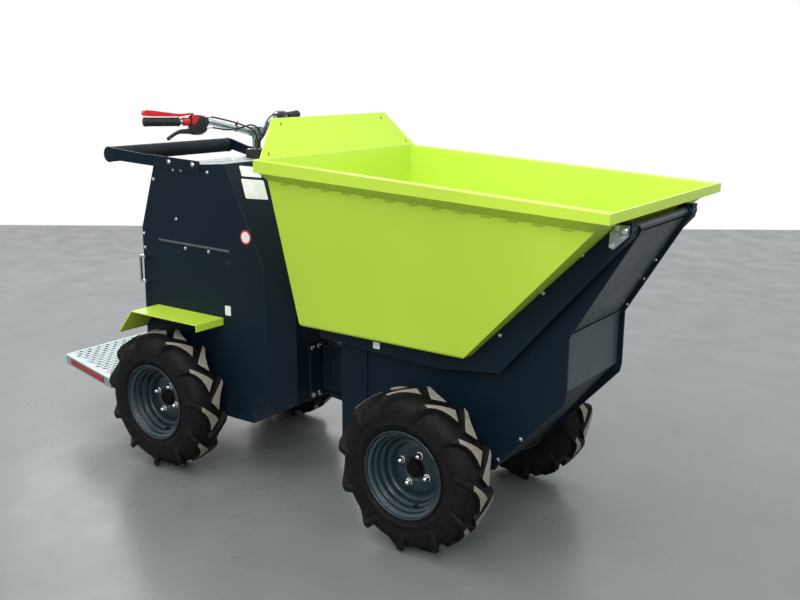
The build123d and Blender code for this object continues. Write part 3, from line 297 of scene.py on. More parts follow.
FINISHES = {
    # name: material, slot, the CAD nodes that wear it
    # The fifth value of each powder coat is the colour of its painted edge highlight.
    "lime": (powder_coat("lime_powder_coat", LIME, 0.36, 0.12, (0.74, 0.93, 0.22), specular=0.35),
             "lime_paint", "tub_shell tub_lip splash_board fender_left fender_right"),
    "weld": (powder_coat("lime_over_weld", (0.36, 0.55, 0.035), 0.42, 0.1, (0.85, 1.0, 0.35), specular=0.4),
             "lime_paint", ""),
    "slate": (powder_coat("slate_powder_coat", SLATE, 0.42, 0.0, (0.070, 0.095, 0.110), 0.2, specular=0.13),
              "slate_paint", "cabinet_shell cabinet_rear_panel hip_bar_arms rear_bracket platform_hinge "
              "nose_plate_left nose_plate_right belly_plate rear_bulkhead front_yoke tipping_cradle "
              "tip_cylinder_barrel"),
    # front: the cover paint with its base colour lightened as a painted reflection of the floor; the hinge
    # tube wears it for a painted highlight.
    "front": (powder_coat("front_coat_painted_reflection", (0.040, 0.060, 0.070), 0.38, 0.0, (0.13, 0.17, 0.19), 0.15,
                          specular=0.45),
              "front_paint", "front_cover_upper front_cover_lower hinge_tube"),
    "rim": (powder_coat("rim_gloss_coat", (0.0075, 0.0200, 0.0265), 0.22, 0.25, (0.14, 0.21, 0.25),
                        specular=0.32), "rim_paint", ""),
    "console": (powder_coat("console_gloss", (0.70, 0.77, 0.81), 0.16, 0.5, (0.86, 0.89, 0.93)),
                "console", "console_top"),
    "rubber": (tyre_rubber(), "tyre_rubber", ""),
    "lug": (lug_top(), "tyre_rubber", ""),
    "zinc": (galvanised(), "galvanised", ""),
    "tube": (metal("zinc_plated_tube", (0.36, 0.43, 0.47), 0.34, grain=(1, 0.12, 1), scale=110.0),
             "bright_steel", "handlebar_tube steering_stem"),
    "bright": (metal("bright_plating", (0.72, 0.73, 0.74), 0.16, spread=0.06),
               "bright_steel", "cabinet_pulls tip_cylinder_pin"),
    "chrome": (metal("chrome", (0.86, 0.87, 0.88), 0.07, scale=30.0, spread=0.03, bump=0.00001),
               "bright_steel", "tip_cylinder_rod"),
    "foam": (foam_padding(), "bar_padding", ""),
    "grip": (moulded("grip_rubber", (0.010, 0.011, 0.013), 0.55, specular=0.25), "grip_rubber", ""),
    "black": (moulded("black_plastic", (0.008, 0.0085, 0.009), 0.42, specular=0.3),
              "black_plastic", "stem_bearing"),
    "red": (moulded("red_plastic", (0.42, 0.006, 0.014), 0.36, depth=0.00005, specular=0.35),
            "red_plastic", ""),
    "reflector": (reflector_red(), "reflector", "reflectors"),
    "cable": (moulded("cable_sheath", (0.008, 0.008, 0.009), 0.40, scale=700.0, depth=0.00005, specular=0.3),
              "cable", "control_cables"),
    "battery": (moulded("battery_case", (0.035, 0.036, 0.038), 0.5), "battery_case", "battery_pack"),
    "cast": (moulded("cast_axle_paint", (0.012, 0.013, 0.014), 0.52, 160.0, 0.0004, 0.2),
             "axle_paint", "front_axle rear_axle"),
    "label": (label_white(), "console", ""),
    "stripe": (moulded("stripe_film", (0.080, 0.090, 0.097), 0.4, depth=0.00002, specular=0.2),
               "front_paint", ""),
    # painted shade: near black, for the shadowed hub in each wheel's middle and the openings of the splash
    # board's slots.
    "hole": (moulded("deep_shadow", (0.003, 0.003, 0.003), 0.9, specular=0.05), "black_plastic", ""),
}


def finish_cad_nodes():
    """Give each kept CAD node its finish."""
    for material, _, nodes in FINISHES.values():
        for name in nodes.split():
            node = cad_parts[name]
            node.data.materials.clear()
            node.data.materials.append(material)


# ---- Mesh helpers ----

SAME_POINT = 1e-6
BEVEL_OVER = 35  # degrees between faces over which an edge is bevelled


def piece(name, verts, faces, finish, body, **looks):
    """A mesh that rides a body; its looks are those of finished()."""
    mesh = bpy.data.meshes.new(name)
    mesh.from_pydata([tuple(vert) for vert in verts], [], faces)
    made = bmesh.new()
    made.from_mesh(mesh)
    bmesh.ops.remove_doubles(made, verts=made.verts, dist=SAME_POINT)
    bmesh.ops.recalc_face_normals(made, faces=made.faces)
    made.to_mesh(mesh)
    made.free()
    return finished(name, mesh, finish, body, **looks)


def finished(name, mesh, finish, body, replaces=(), sharp=30, bevel=0.0, face_finish=None):
    """An object from a mesh, with its finish and body set. sharp is the angle in degrees over
    which edges stay hard, and bevel the width of the rounding on them."""
    made = shown(name, mesh)
    material, slot, _ = FINISHES[finish]
    mesh.materials.append(material)
    if face_finish:
        mesh.materials.append(FINISHES[face_finish][0])
    mesh.polygons.foreach_set("use_smooth", [True] * len(mesh.polygons))
    if sharp is not None:
        mesh.set_sharp_from_angle(angle=radians(sharp))
    if bevel:
        mod = made.modifiers.new("edges", "BEVEL")
        mod.width = bevel
        mod.segments = 2
        mod.limit_method = "ANGLE"
        mod.angle_limit = radians(BEVEL_OVER)
        mod.use_clamp_overlap = True
    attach(made, body)
    if replaces:
        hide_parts(*replaces)
    return made


def joined(parts):
    """Verts and faces of several parts as one mesh."""
    verts, faces = [], []
    for part_verts, part_faces in parts:
        start = len(verts)
        verts += part_verts
        faces += [tuple(index + start for index in face) for face in part_faces]
    return verts, faces


def assembly(name, parts, finish, body, **looks):
    """Several parts as one piece."""
    return piece(name, *joined(parts), finish, body, **looks)


def skin(sections, ring=False, closed=True):
    """Quads over sections with equal counts of points. ring joins the last section to the first,
    and closed each section's last point to its first."""
    count, total = len(sections[0]), len(sections)
    verts = [Vector(point) for section in sections for point in section]
    faces = []
    for row in range(total if ring else total - 1):
        here, after = row * count, (row + 1) % total * count
        for i in range(count if closed else count - 1):
            j = (i + 1) % count
            faces.append((here + i, here + j, after + j, after + i))
    return verts, faces


def loft(sections, closed=True):
    """Skin over sections, with its first and last section filled."""
    verts, faces = skin(sections, closed=closed)
    count = len(sections[0])
    first, last = tuple(range(count)), tuple(range(len(verts) - count, len(verts)))
    return verts, [first[::-1], last] + faces


def lathe(profile, segments, centre=(0, 0, 0), axis=UP, closed=False):
    """A profile of (radius, along) turned about an axis through a centre."""
    axis = Vector(axis).normalized()
    side = axis.orthogonal().normalized()
    up = axis.cross(side)
    sections = []
    for step in range(segments):
        angle = 2 * pi * step / segments
        spoke = side * cos(angle) + up * sin(angle)
        sections.append([Vector(centre) + spoke * radius + axis * along for radius, along in profile])
    return skin(sections, True, closed)


def prism(outline, low, high):
    """Prism of (a, b) points between two heights, as (a, b, height) verts."""
    return loft([[(a, b, height) for a, b in outline] for height in (low, high)])


def upended(part, shift=0.0):
    """A prism with its height turned into y and its second axis into z."""
    verts, faces = part
    return [Vector((v.x, v.z, v.y + shift)) for v in verts], faces


def placed(part, matrix):
    """A part moved by a matrix."""
    verts, faces = part
    return [matrix @ vert for vert in verts], faces


def facing(origin, normal):
    """Matrix that stands a part's +Z on a normal at an origin, its +Y as near up as it gets."""
    normal = Vector(normal).normalized()
    level = abs(normal.z) > 0.99
    right = Vector((1, 0, 0) if level else UP).cross(normal).normalized()
    top = normal.cross(right)
    matrix = Matrix((right, top, normal)).transposed().to_4x4()
    matrix.translation = origin
    return matrix


def arc(radius, start, end, steps, x=0, y=0):
    """Points of an arc about (x, y), its angles in degrees."""
    angles = [radians(start + (end - start) * step / steps) for step in range(steps + 1)]
    return [(x + radius * cos(angle), y + radius * sin(angle)) for angle in angles]


def circle(radius, steps, x=0, y=0):
    """Outline of a circle about (x, y)."""
    return arc(radius, 0, 360, steps, x, y)[:-1]


def rounded_rect(width, height, radius, steps=4):
    """Outline of a rectangle with round corners."""
    points = []
    for sx, sy, start in ((1, 1, 0), (-1, 1, 90), (-1, -1, 180), (1, -1, 270)):
        x, y = sx * (width / 2 - radius), sy * (height / 2 - radius)
        points += arc(radius, start, start + 90, steps, x, y)
    return points


def tube_along(points, radius, sides):
    """Tube along a list of points, with closed ends."""
    points = [Vector(point) for point in points]
    sections = []
    normal = (points[1] - points[0]).orthogonal().normalized()
    for index, point in enumerate(points):
        before = points[max(index - 1, 0)]
        after = points[min(index + 1, len(points) - 1)]
        along = (after - before).normalized()
        normal = (normal - along * normal.dot(along)).normalized()
        other = along.cross(normal)
        sections.append([point + (normal * x + other * y) for x, y in circle(radius, sides)])
    return loft(sections)


# ---- Fasteners ----


def button_bolt(radius, height):
    """Button-head bolt with a socket and a washer, standing on z = 0."""
    dome = [(0.0, height * 0.55), (radius * 0.42, height * 0.55), (radius * 0.45, height),
            (radius * 0.75, height * 0.88), (radius * 0.97, height * 0.45), (radius, 0.0008),
            (radius * 1.45, 0.0008), (radius * 1.5, 0.0)]
    return lathe(dome, 14)


def hex_bolt(radius, height):
    """Hexagon bolt on a washer, standing on z = 0."""
    head = [(0.0, height), (radius * 0.86, height), (radius, height * 0.82), (radius, 0.0012)]
    washer = [(radius, 0.0013), (radius * 1.28, 0.0012), (radius * 1.32, 0.0)]
    return joined([lathe(head, 6), lathe(washer, 20)])


def acorn_nut(radius, height):
    """Domed wheel nut on its seat, standing on z = 0; height is up to the dome."""
    seat = [(radius * 1.25, 0.0), (radius * 1.2, 0.003), (radius, 0.004)]
    hexagon = [(radius, 0.003), (radius, height - 0.0015), (radius * 0.86, height)]
    dome = [(a, height + b) for a, b in arc(radius * 0.86, 0, 90, 6)]
    return joined([lathe(seat, 18), lathe(hexagon, 6), lathe(dome, 18)])


def bolts(name, part, places, body, finish="bright"):
    """Copies of a fastener at (point, normal) places, as one piece."""
    parts = [placed(part, facing(point, normal)) for point, normal in places]
    return assembly(name, parts, finish, body, sharp=35)


# ---- Tyres and wheels ----

WHEELS = ("front_left", "front_right", "rear_left", "rear_right")
LUG_COUNT = 11
LUG_PHASE = 0.017 / 0.257  # a lug's shift round the tread, over the tyre's radius
LUG_SPREAD = 0.006  # how far a lug's foot stands out beyond its face
LUG_STEPS = 3
LUG_TOP = (0.2525, 0.8)  # least radius and outward lean of a face that takes dust
LUG_EDGE_LOW = [
    # place along the lug's profile, degrees round the wheel
    (-0.75, -4.3), (0.05, -8.6), (0.95, -12.4), (1.8, -15.6), (2.7, -18.8), (3.7, -21.4),
    (5.4, -23.8), (7.0, -24.8),
]
LUG_EDGE_HIGH = [
    (0.75, 4.3), (1.05, -1.8), (1.5, -7.4), (2.1, -11.6), (2.9, -14.8), (3.8, -17.2),
    (5.4, -19.6), (7.0, -20.9),
]
CARCASS = mm([
    (127.5, 56), (140, 60), (150, 65.5), (158, 68.5), (160, 70), (164, 70.5), (166, 69.5), (180, 71.2),
    (195, 70.6), (209, 67.5), (221.5, 61.5), (230.5, 52), (237, 39), (240.2, 22), (241, 0),
])
LUG_BASE = mm([
    (239, 0), (238.8, 20), (235.5, 38), (229, 50), (220, 59), (208, 65), (194, 68), (182, 69),
])
LUG_FACE = mm([
    (257, 0), (257, 22), (256.2, 42), (253.5, 59), (244, 71.5), (226, 73.8), (206, 73.8), (188, 72),
])
MARK_COUNT = 44  # raised bars round a side wall, with one in MARK_GAP left out
MARK_GAP = 11
MARK_FIRST_GAP = 5
MARK_HALF = 0.0016
MARK_RADII = (0.1475, 0.1535)
MARK_Y = 0.0655
MARK_LEAN = 1.03  # outer end's y over the inner end's
MARK_RISE = 0.0025


def along_line(points, place):
    """Point at a place along a profile, counted in its points; before it, mirrored."""
    index = min(int(abs(place)), len(points) - 2)
    first, second = between(points[index], points[index + 1], abs(place) - index)
    return first, -second if place < 0 else second


def lug(side, turn):
    """One lug from the middle of the tread over the shoulder, about the wheel's axis."""
    sections = []
    for station in range((len(LUG_EDGE_LOW) - 1) * LUG_STEPS + 1):
        low, high = (along_line(edge, station / LUG_STEPS) for edge in (LUG_EDGE_LOW, LUG_EDGE_HIGH))
        corners = ((LUG_BASE, low, -1), (LUG_FACE, low, 0), (LUG_FACE, high, 0), (LUG_BASE, high, 1))
        section = []
        for profile, (place, lag), foot in corners:
            radius, y = along_line(profile, place)
            angle = turn + radians(lag) + foot * LUG_SPREAD / radius
            section.append((radius * sin(angle), side * y, radius * cos(angle)))
        sections.append(section)
    return loft(sections, closed=False)


def sidewall_marks(side):
    """Short raised bars in a ring on the side wall."""
    parts = []
    near, far = Vector((0, side * MARK_Y, 0)), Vector((0, side * MARK_Y * MARK_LEAN, 0))
    rise = Vector((0, side * MARK_RISE, 0))
    for step in range(MARK_COUNT):
        angle = 2 * pi * step / MARK_COUNT
        if step % MARK_GAP == MARK_FIRST_GAP:
            continue
        across = Vector((cos(angle), 0, -sin(angle))) * MARK_HALF
        low, high = (Vector((sin(angle), 0, cos(angle))) * radius for radius in MARK_RADII)
        foot = [low - across + near, low + across + near, high + across + far, high - across + far]
        parts.append(loft([foot, [vert + rise for vert in foot]]))
    return joined(parts)


def make_tyre(name, centre):
    """Lugged tyre on a wheel body."""
    ring = CARCASS + mirrored(CARCASS[:-1])
    move = Matrix.Translation(centre)
    body = "wheel_" + name
    carcass = placed(lathe(ring, 96, axis=(0, 1, 0), closed=True), move)
    piece("tyre_body_" + name, *carcass, "rubber", body, replaces=("tyre_" + name,), sharp=None)
    lugs = []
    for side in (1, -1):
        start = LUG_PHASE + (0.0 if side * centre.y > 0 else pi / LUG_COUNT)
        lugs += [lug(side, start + 2 * pi * step / LUG_COUNT) for step in range(LUG_COUNT)]
    made = piece("tyre_lugs_" + name, *placed(joined(lugs), move), "rubber", body, sharp=40,
                 bevel=0.0028, face_finish="lug")
    for face in made.data.polygons:
        out = face.center - Vector(centre)
        out.y = 0
        if out.length > LUG_TOP[0] and face.normal.dot(out.normalized()) > LUG_TOP[1]:
            face.material_index = 1
    marks = placed(joined([sidewall_marks(1), sidewall_marks(-1)]), move)
    piece("tyre_marks_" + name, *marks, "rubber", body)


RIM_FRONT_FACE = mm([
    (133, 58), (140.5, 60), (142, 62.5), (142, 65.5), (140.8, 67.5), (138.5, 68), (136.2, 66.8),
    (135, 64), (134.5, 60), (132.5, 57.5), (126.5, 56), (124.5, 54.5), (124, 43), (122.8, 41.2),
    (116.5, 39.5), (114.8, 38), (114.2, 22), (113, 20), (107, 18.5), (105.2, 17), (104.6, 0),
    (103, -4.5), (98.5, -7), (90, -7.5), (84, -7), (80, -4.5), (75.5, -3), (40, -3), (36.5, -4),
    (33.5, -8), (30, -8),
])
RIM_BACK_FACE = mm([
    (30, -13), (98, -13), (101, -18), (102, -24), (120, -40), (122, -44), (122, -58), (133, -61),
    (136, -67), (140, -68), (142, -66), (142, -62), (139.5, -60), (127.5, -56), (127, -34), (109, -23),
    (109, 16), (118, 16), (120, 34), (128, 38), (129, 56),
])
HUB_FACE = mm([
    (0, 6), (16, 6), (18, 4), (25.5, 4), (27.5, 2), (29, -4), (29.8, -10), (29.8, -16), (47, -18),
    (48, -24),
])
HUB_RADIUS = 0.048
HUB_CLEAR = 0.006  # between the hub's back and the cabinet
VALVE = mm([(0, 20), (3.5, 20), (3.8, 10), (5.5, 6), (7.5, 1), (7.8, 0)])
VALVE_FOOT = (0.1115, 0.0185)  # radius and height out
VALVE_TURN = -77
VALVE_LEAN = -0.35
NUT_CIRCLE = 0.051
NUT_TURNS = (68, 158, 248, 338)
NUT_SEAT = -0.0032


def wheel_spoke(turn):
    """Unit vector in the wheel's plane at a turn in degrees."""
    return Vector((cos(radians(turn)), 0, sin(radians(turn))))


def make_rim(name, centre, side):
    """Stepped rim with its disc, nuts and valve, and a hub in painted shade, on a wheel body."""
    body = "wheel_" + name
    out = Vector((0, side, 0))
    rim = lathe(RIM_FRONT_FACE + RIM_BACK_FACE, 96, centre, out, closed=True)
    piece("rim_body_" + name, *rim, "rim", body, replaces=("rim_" + name,), sharp=60)
    back = -(abs(centre.y) - CAB_HALF - HUB_CLEAR)
    hub = HUB_FACE + [(HUB_RADIUS, back + 0.004), (HUB_RADIUS - 0.003, back), (0.0, back)]
    # The hub is near black: painted shade for the shadowed middle of the wheel.
    piece("hub_painted_shade_" + name, *lathe(hub, 48, centre, out), "hole", body, sharp=40)
    places = [(centre + wheel_spoke(turn) * NUT_CIRCLE + out * NUT_SEAT, out) for turn in NUT_TURNS]
    bolts("wheel_nuts_" + name, acorn_nut(0.0105, 0.0105), places, body, "chrome")
    spoke = wheel_spoke(VALVE_TURN)
    foot = centre + spoke * VALVE_FOOT[0] + out * VALVE_FOOT[1]
    valve = placed(lathe(VALVE, 14), facing(foot, out + spoke * VALVE_LEAN))
    piece("valve_" + name, *valve, "black", body, sharp=40)


def make_wheels():
    """All four wheels."""
    for name in WHEELS:
        low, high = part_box("tyre_" + name)
        centre = (low + high) / 2
        make_tyre(name, centre)
        make_rim(name, centre, 1 if centre.y > 0 else -1)


# ---- Platform ----

DECK_REAR_HALF = 0.247
DECK_SHEET = 0.003
DECK_CORNER = 0.024
DECK_CORNER_STEPS = 6
SKIRT_DROP = 0.001  # of the skirt's top below the tread's
DECK_HINGE_RUN = 0.030  # the knuckles' reach ahead of the deck
HOLE_PITCH = 0.046
HOLE_RADIUS = 0.0098
SMALL_HOLE_RADIUS = 0.0055
FIRST_HOLE_ROW = 0.026
HOLE_MARGIN = 0.024
KNUCKLE_Y = 0.15
KNUCKLE_HALF = 0.020
KNUCKLE = mm([
    # back and down from the hinge's front and the deck's top
    (45, 20), (45, 3), (12, 0.5), (3, 3), (0.5, 9), (4, 17), (12, 20),
])


def deck_line(inset):
    """Outline of the platform in plan, its rear corners round."""
    low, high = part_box("platform_deck")
    front, rear = high.x - DECK_HINGE_RUN - inset, low.x + inset
    front_half, rear_half = high.y - inset, DECK_REAR_HALF - inset
    start = pi / 2 + atan2(front_half - rear_half, front - rear)
    radius = DECK_CORNER - inset
    x, y = rear + radius, rear_half - radius / tan(start / 2)
    points = [(front, front_half)] + arc(radius, degrees(start), 180, DECK_CORNER_STEPS, x, y)
    return points + mirrored(points)


def deck_holes():
    """Outlines of the perforation: big holes in offset rows, small ones between them."""
    low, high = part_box("platform_deck")
    front = high.x - DECK_HINGE_RUN
    holes = []
    for row in range(int((front - low.x) / (HOLE_PITCH / 2)) - 1):
        x = low.x + FIRST_HOLE_ROW + row * HOLE_PITCH / 2
        widening = (x - low.x) * (high.y - DECK_REAR_HALF) / (front - low.x)
        half = DECK_REAR_HALF + widening - HOLE_MARGIN
        shift = (row % 2) * HOLE_PITCH / 2
        count = int(half / HOLE_PITCH) + 1
        for column in range(-count, count + 1):
            y = column * HOLE_PITCH + shift
            for middle, radius, steps in ((y, HOLE_RADIUS, 16), (y + HOLE_PITCH / 2, SMALL_HOLE_RADIUS, 10)):
                if abs(middle) + radius < half:
                    holes.append(circle(radius, steps, x, middle))
    return holes


def make_tread():
    """Perforated sheet of the platform, filled between its outline and its holes."""
    curve = bpy.data.curves.new("deck_outline", "CURVE")
    curve.dimensions = "2D"
    curve.fill_mode = "BOTH"
    curve.extrude = DECK_SHEET / 2
    for outline in [deck_line(0.0)] + deck_holes():
        spline = curve.splines.new("POLY")
        spline.points.add(len(outline) - 1)
        for point, (x, y) in zip(spline.points, outline):
            point.co = (x, y, 0, 1)
        spline.use_cyclic_u = True
    holder = shown("deck_outline", curve)
    graph = bpy.context.evaluated_depsgraph_get()
    mesh = bpy.data.meshes.new_from_object(holder.evaluated_get(graph))
    bpy.data.objects.remove(holder)
    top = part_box("platform_deck")[1].z
    for vert in mesh.vertices:
        vert.co.z += top - DECK_SHEET / 2
    finished("platform_tread", mesh, "zinc", "platform", replaces=("platform_deck",))


def make_skirt():
    """Folded skirt round the platform's edge, open below."""
    low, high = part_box("platform_deck")
    outer, inner = deck_line(0.0), deck_line(DECK_SHEET)
    top = high.z - SKIRT_DROP
    rings = ((outer, top), (outer, low.z), (inner, low.z), (inner, top))
    skirt = skin([[(x, y, z) for x, y in line] for line, z in rings])
    piece("platform_skirt", *skirt, "zinc", "platform")


def make_platform():
    """Standing platform: perforated sheet, folded skirt and the two hinge knuckles."""
    make_tread()
    make_skirt()
    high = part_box("platform_deck")[1]
    outline = [(high.x - back, high.z - down) for back, down in KNUCKLE]
    knuckles = [upended(prism(outline, side * KNUCKLE_Y - KNUCKLE_HALF, side * KNUCKLE_Y + KNUCKLE_HALF))
                for side in HALVES]
    assembly("platform_knuckles", knuckles, "zinc", "platform", bevel=0.001)


# ---- Hip bar, handlebar and controls ----

BAR_TIP = Vector((-0.544, -0.394, 1.272))
BAR_ELBOW = Vector((-0.459, -0.172, 1.267))
BAR_STEM_Y = -0.034  # where the bar's middle run starts
BAR_BORE = 0.0122  # what fits round the bar
STEM_X = -0.400
BAR_Z = 1.228
BEARING_TOP_Z = 1.163
GRIP_START = -0.004
GRIP_END = 0.124
RIB_START = 0.0120
RIB_PITCH = 0.0040
RIB = mm([(14.8, 0), (15.3, 0.6), (15.3, 2.2), (14.8, 2.8)])
HOUSING_PLACE = 0.164
HOUSING_LENGTH = 0.060
HOUSING_END = HOUSING_PLACE + HOUSING_LENGTH
HOUSING_SHAPE = mm([
    # along, depth, top, low, corner radius
    (0, 34, 18.5, 40, 9), (3, 39, 21.5, 43.5, 10), (9, 44, 24, 45.5, 11), (22, 46, 25, 46, 12),
    (36, 45.5, 24, 45, 12), (48, 42, 21.5, 40, 12), (56, 37, 18.5, 35, 11), (60, 31, 15.5, 30, 10),
])
HOUSING_SCREWS = mm([(16, 12), (44, 10), (16, -34), (40, -30)])
HOUSING_FACE = 0.0222  # rear face that the screws sit in
OUTER_COLLAR = mm([(12.2, -3), (16.5, -3), (18, -1.5), (18, 4), (12.2, 4)])
INNER_COLLAR = mm([(12.2, -4), (18, -4), (17.2, 3), (15, 6), (12.2, 6)])
ROCKER_PLACE = (-0.010, 0.029)  # up from the bar, and along from the housing's start
ROCKER_STEPS = ((0.021, 1.0), (0.0245, 1.0), (0.0258, 0.85))  # depths and scales of its outline
ADJUSTER = mm([
    (3.1, 0), (5.5, 0), (6, 1), (6, 8), (4.8, 9.5), (4.8, 14), (4.2, 14.5), (4.2, 21), (3.1, 21.5),
])
ADJUSTER_SINK = 0.003
CABLE_STARTS = mm([(0, 17), (-12, -20)])
BRAKE_LEVER = mm([
    # along the bar, up
    (163.7, -22), (140, -23.5), (120, -25), (98, -36), (80, -48.5), (73.5, -55), (75.5, -62), (84, -58),
    (112, -40.5), (136, -40.5), (163.7, -42),
])
BRAKE_LEVER_REAR = (-0.022, -0.010)
BALL_PLACE = (-0.0565, -0.016, 0.0785)
BALL_RADIUS = 0.0068
SAFETY_LEVER = mm([
    (176, 25.3), (176, 31), (160, 31.2), (128, 27.5), (80, 32.5), (30, 39), (4, 41), (-5.5, 36.5),
    (-7, 24.5), (2, 19.5), (50, 19), (100, 18.7), (130, 18.5), (164, 25.2),
])
SAFETY_LEVER_HALF = 0.012
CHEEK = mm([(24.5, -2), (22.5, 24), (8, 19), (-6, 6), (-8, -3), (10, -2)])
CHEEK_REAR = (-0.0246, -0.0200)
CHEEK_SHIFT = 0.004  # along the bar, from the housing's start
SADDLE_RADIUS = 0.0150
SADDLE_RUN = (-0.028, -0.001)
FOAM_RINGS = 44
FOAM_DENT = 0.0005


def bar_point(side, along, rear, rise):
    """Point beside an end of the handlebar: inward along it, rearward and up from its axis."""
    inward = (BAR_ELBOW - BAR_TIP).normalized()
    rearward = Vector(UP).cross(inward).normalized()
    point = BAR_TIP + inward * along + rearward * rear + inward.cross(rearward) * rise
    return at(point.x, point.y if side < 0 else -point.y, point.z)


def on_bar(part, side):
    """A part drawn about +Z as the bar's axis, +X up and +Y rearward, put on an end of the bar."""
    verts, faces = part
    return [bar_point(side, v.z, v.y, v.x) for v in verts], faces


def both_ends(name, parts, finish, **looks):
    """One piece of parts that stand on both ends of the bar."""
    assembly(name, [on_bar(part, side) for side in HALVES for part in parts], finish, "handlebar", **looks)


def smoothed(outline, times=2):
    """Outline with its corners cut round."""
    for _ in range(times):
        outline = [between(here, after, share) for here, after in zip(outline, outline[1:] + outline[:1])
                   for share in (0.22, 0.78)]
    return outline


def blade(outline, rear, front):
    """Flat lever of (along, up) points between two depths, drawn about the bar's axis."""
    return upended(prism([(rise, along) for along, rise in smoothed(outline)], rear, front))


def make_hip_bar():
    """Foam sleeve of the hip bar, with its soft edges and slight dents."""
    low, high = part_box("hip_bar")
    radius, half = (high.z - low.z) / 2, (high.y - low.y) / 2
    end = [(0.0, -half), (radius - 0.0035, -half), (radius - 0.0012, -half + 0.0010),
           (radius, -half + 0.004)]
    profile = list(end)
    start = end[-1][1]
    for ring in range(1, FOAM_RINGS):
        profile.append((radius - FOAM_DENT * random.random(), start - 2 * start * ring / FOAM_RINGS))
    foam = lathe(profile + mirrored(end), 48, (low + high) / 2, (0, 1, 0))
    made = piece("hip_bar_foam", *foam, "foam", "rear_frame", replaces=("hip_bar",), sharp=50)


def make_grips():
    """Two ribbed rubber grips with an end cap and an inner collar."""
    profile = [(0.0, GRIP_START), (0.0120, GRIP_START), (0.0148, GRIP_START + 0.0012),
               (0.0160, GRIP_START + 0.004), (0.0160, 0.0080), (0.0152, 0.0095), (0.0146, 0.0105)]
    along = RIB_START
    while along < GRIP_END - 0.013:
        profile += [(radius, along + step) for radius, step in RIB]
        along += RIB_PITCH
    profile += [(0.0148, GRIP_END - 0.009), (0.0158, GRIP_END - 0.007), (0.0160, GRIP_END - 0.0055),
                (0.0160, GRIP_END - 0.001), (0.0154, GRIP_END), (0.0112, GRIP_END)]
    both_ends("grips_ribbed", [lathe(profile, 32)], "grip", replaces=("grips",), sharp=50)


def make_housings():
    """Switch housings with their collars, screws, rocker switches and cable adjusters."""
    sections = []
    for along, depth, top, low, radius in HOUSING_SHAPE:
        ring = rounded_rect(top + low, depth, radius, 5)
        sections.append([(x + (top - low) / 2, y, HOUSING_PLACE + along) for x, y in ring])
    both_ends("housing_bodies", [loft(sections)], "black", replaces=("switch_housings",), sharp=38)
    collars = [lathe(profile, 28, (0, 0, place), closed=True)
               for profile, place in ((OUTER_COLLAR, HOUSING_PLACE), (INNER_COLLAR, HOUSING_END))]
    both_ends("housing_collars", collars, "black", sharp=40)
    places = []
    for side in HALVES:
        for along, rise in HOUSING_SCREWS:
            point, behind = (bar_point(side, HOUSING_PLACE + along, rear, rise)
                             for rear in (HOUSING_FACE, 2 * HOUSING_FACE))
            places.append((point, behind - point))
    bolts("housing_screws", button_bolt(0.0032, 0.0018), places, "handlebar")
    outline = rounded_rect(0.012, 0.020, 0.003, 3)
    up, along = ROCKER_PLACE
    rocker = loft([[(x * scale + up, depth, HOUSING_PLACE + along + y * scale) for x, y in outline]
                   for depth, scale in ROCKER_STEPS])
    both_ends("housing_rockers", [rocker], "grip", sharp=35)
    adjuster = lathe(ADJUSTER, 18, closed=True)
    adjusters = [placed(adjuster, Matrix.Translation((rise, rear, HOUSING_END - ADJUSTER_SINK)))
                 for rear, rise in CABLE_STARTS]
    both_ends("cable_adjusters", adjusters, "bright", sharp=35)


def make_levers():
    """Curved brake levers with ball ends, and the red safety lever with its pivot's saddle."""
    both_ends("brake_lever_blades", [blade(BRAKE_LEVER, *BRAKE_LEVER_REAR)], "black",
              replaces=("brake_levers",), sharp=50, bevel=0.0025)
    ball = [(across, -along) for along, across in arc(BALL_RADIUS, 0, 180, 12)]
    both_ends("brake_lever_balls", [lathe(ball, 20, BALL_PLACE)], "black", sharp=None)
    lever = on_bar(blade(SAFETY_LEVER, -SAFETY_LEVER_HALF, SAFETY_LEVER_HALF), -1)
    piece("safety_lever_blade", *lever, "red", "handlebar", replaces=("safety_lever",), sharp=50,
          bevel=0.0045)
    cheek = upended(prism(smoothed(CHEEK), *CHEEK_REAR), HOUSING_PLACE + CHEEK_SHIFT)
    saddle = arc(BAR_BORE, 40, -160, 10) + arc(SADDLE_RADIUS, -160, 40, 10)
    saddle = prism(saddle, *(HOUSING_PLACE + along for along in SADDLE_RUN))
    assembly("safety_lever_cheek", [on_bar(cheek, -1), on_bar(saddle, -1)], "red", "handlebar",
             sharp=40, bevel=0.0006)


STEM_WEB = mm([(-40, 1219.5), (-18, 1210.5), (-11.8, 1186), (11.8, 1186), (18, 1210.5), (40, 1219.5)])
STEM_WEB_HALF = 0.003
STEM_HEAD_RISE = 0.017
CLAMP_BOLTS = mm([(-11, -11), (-11, 11), (11, -11), (11, 11)])
BEARING_BOLTS = mm([(-20, -16), (-20, 16)])
TIE_SHARE = 0.34  # place of a cable tie on the bar's middle run
TIE_BAND = mm([(11.2, -2), (12.6, -2), (12.6, 2), (11.2, 2)])
TIE_TAIL = mm([(4, 0, 11.5), (5, 2, 20), (9, 4, 26)])
TIE_HEAD = (0.004, 0, 0.0140)


def cable_tie():
    """Band round the bar and its cables, with its head and its cut tail, on the right side."""
    start = Vector((STEM_X, BAR_STEM_Y, BAR_Z))
    middle = start + (BAR_ELBOW - start) * TIE_SHARE
    head = prism(rounded_rect(0.007, 0.006, 0.0012, 2), -0.003, 0.003)
    return joined([lathe(TIE_BAND, 24, middle, BAR_ELBOW - start, closed=True),
                   tube_along([middle + Vector(place) for place in TIE_TAIL], 0.0016, 6),
                   placed(head, Matrix.Translation(middle + Vector(TIE_HEAD)))])


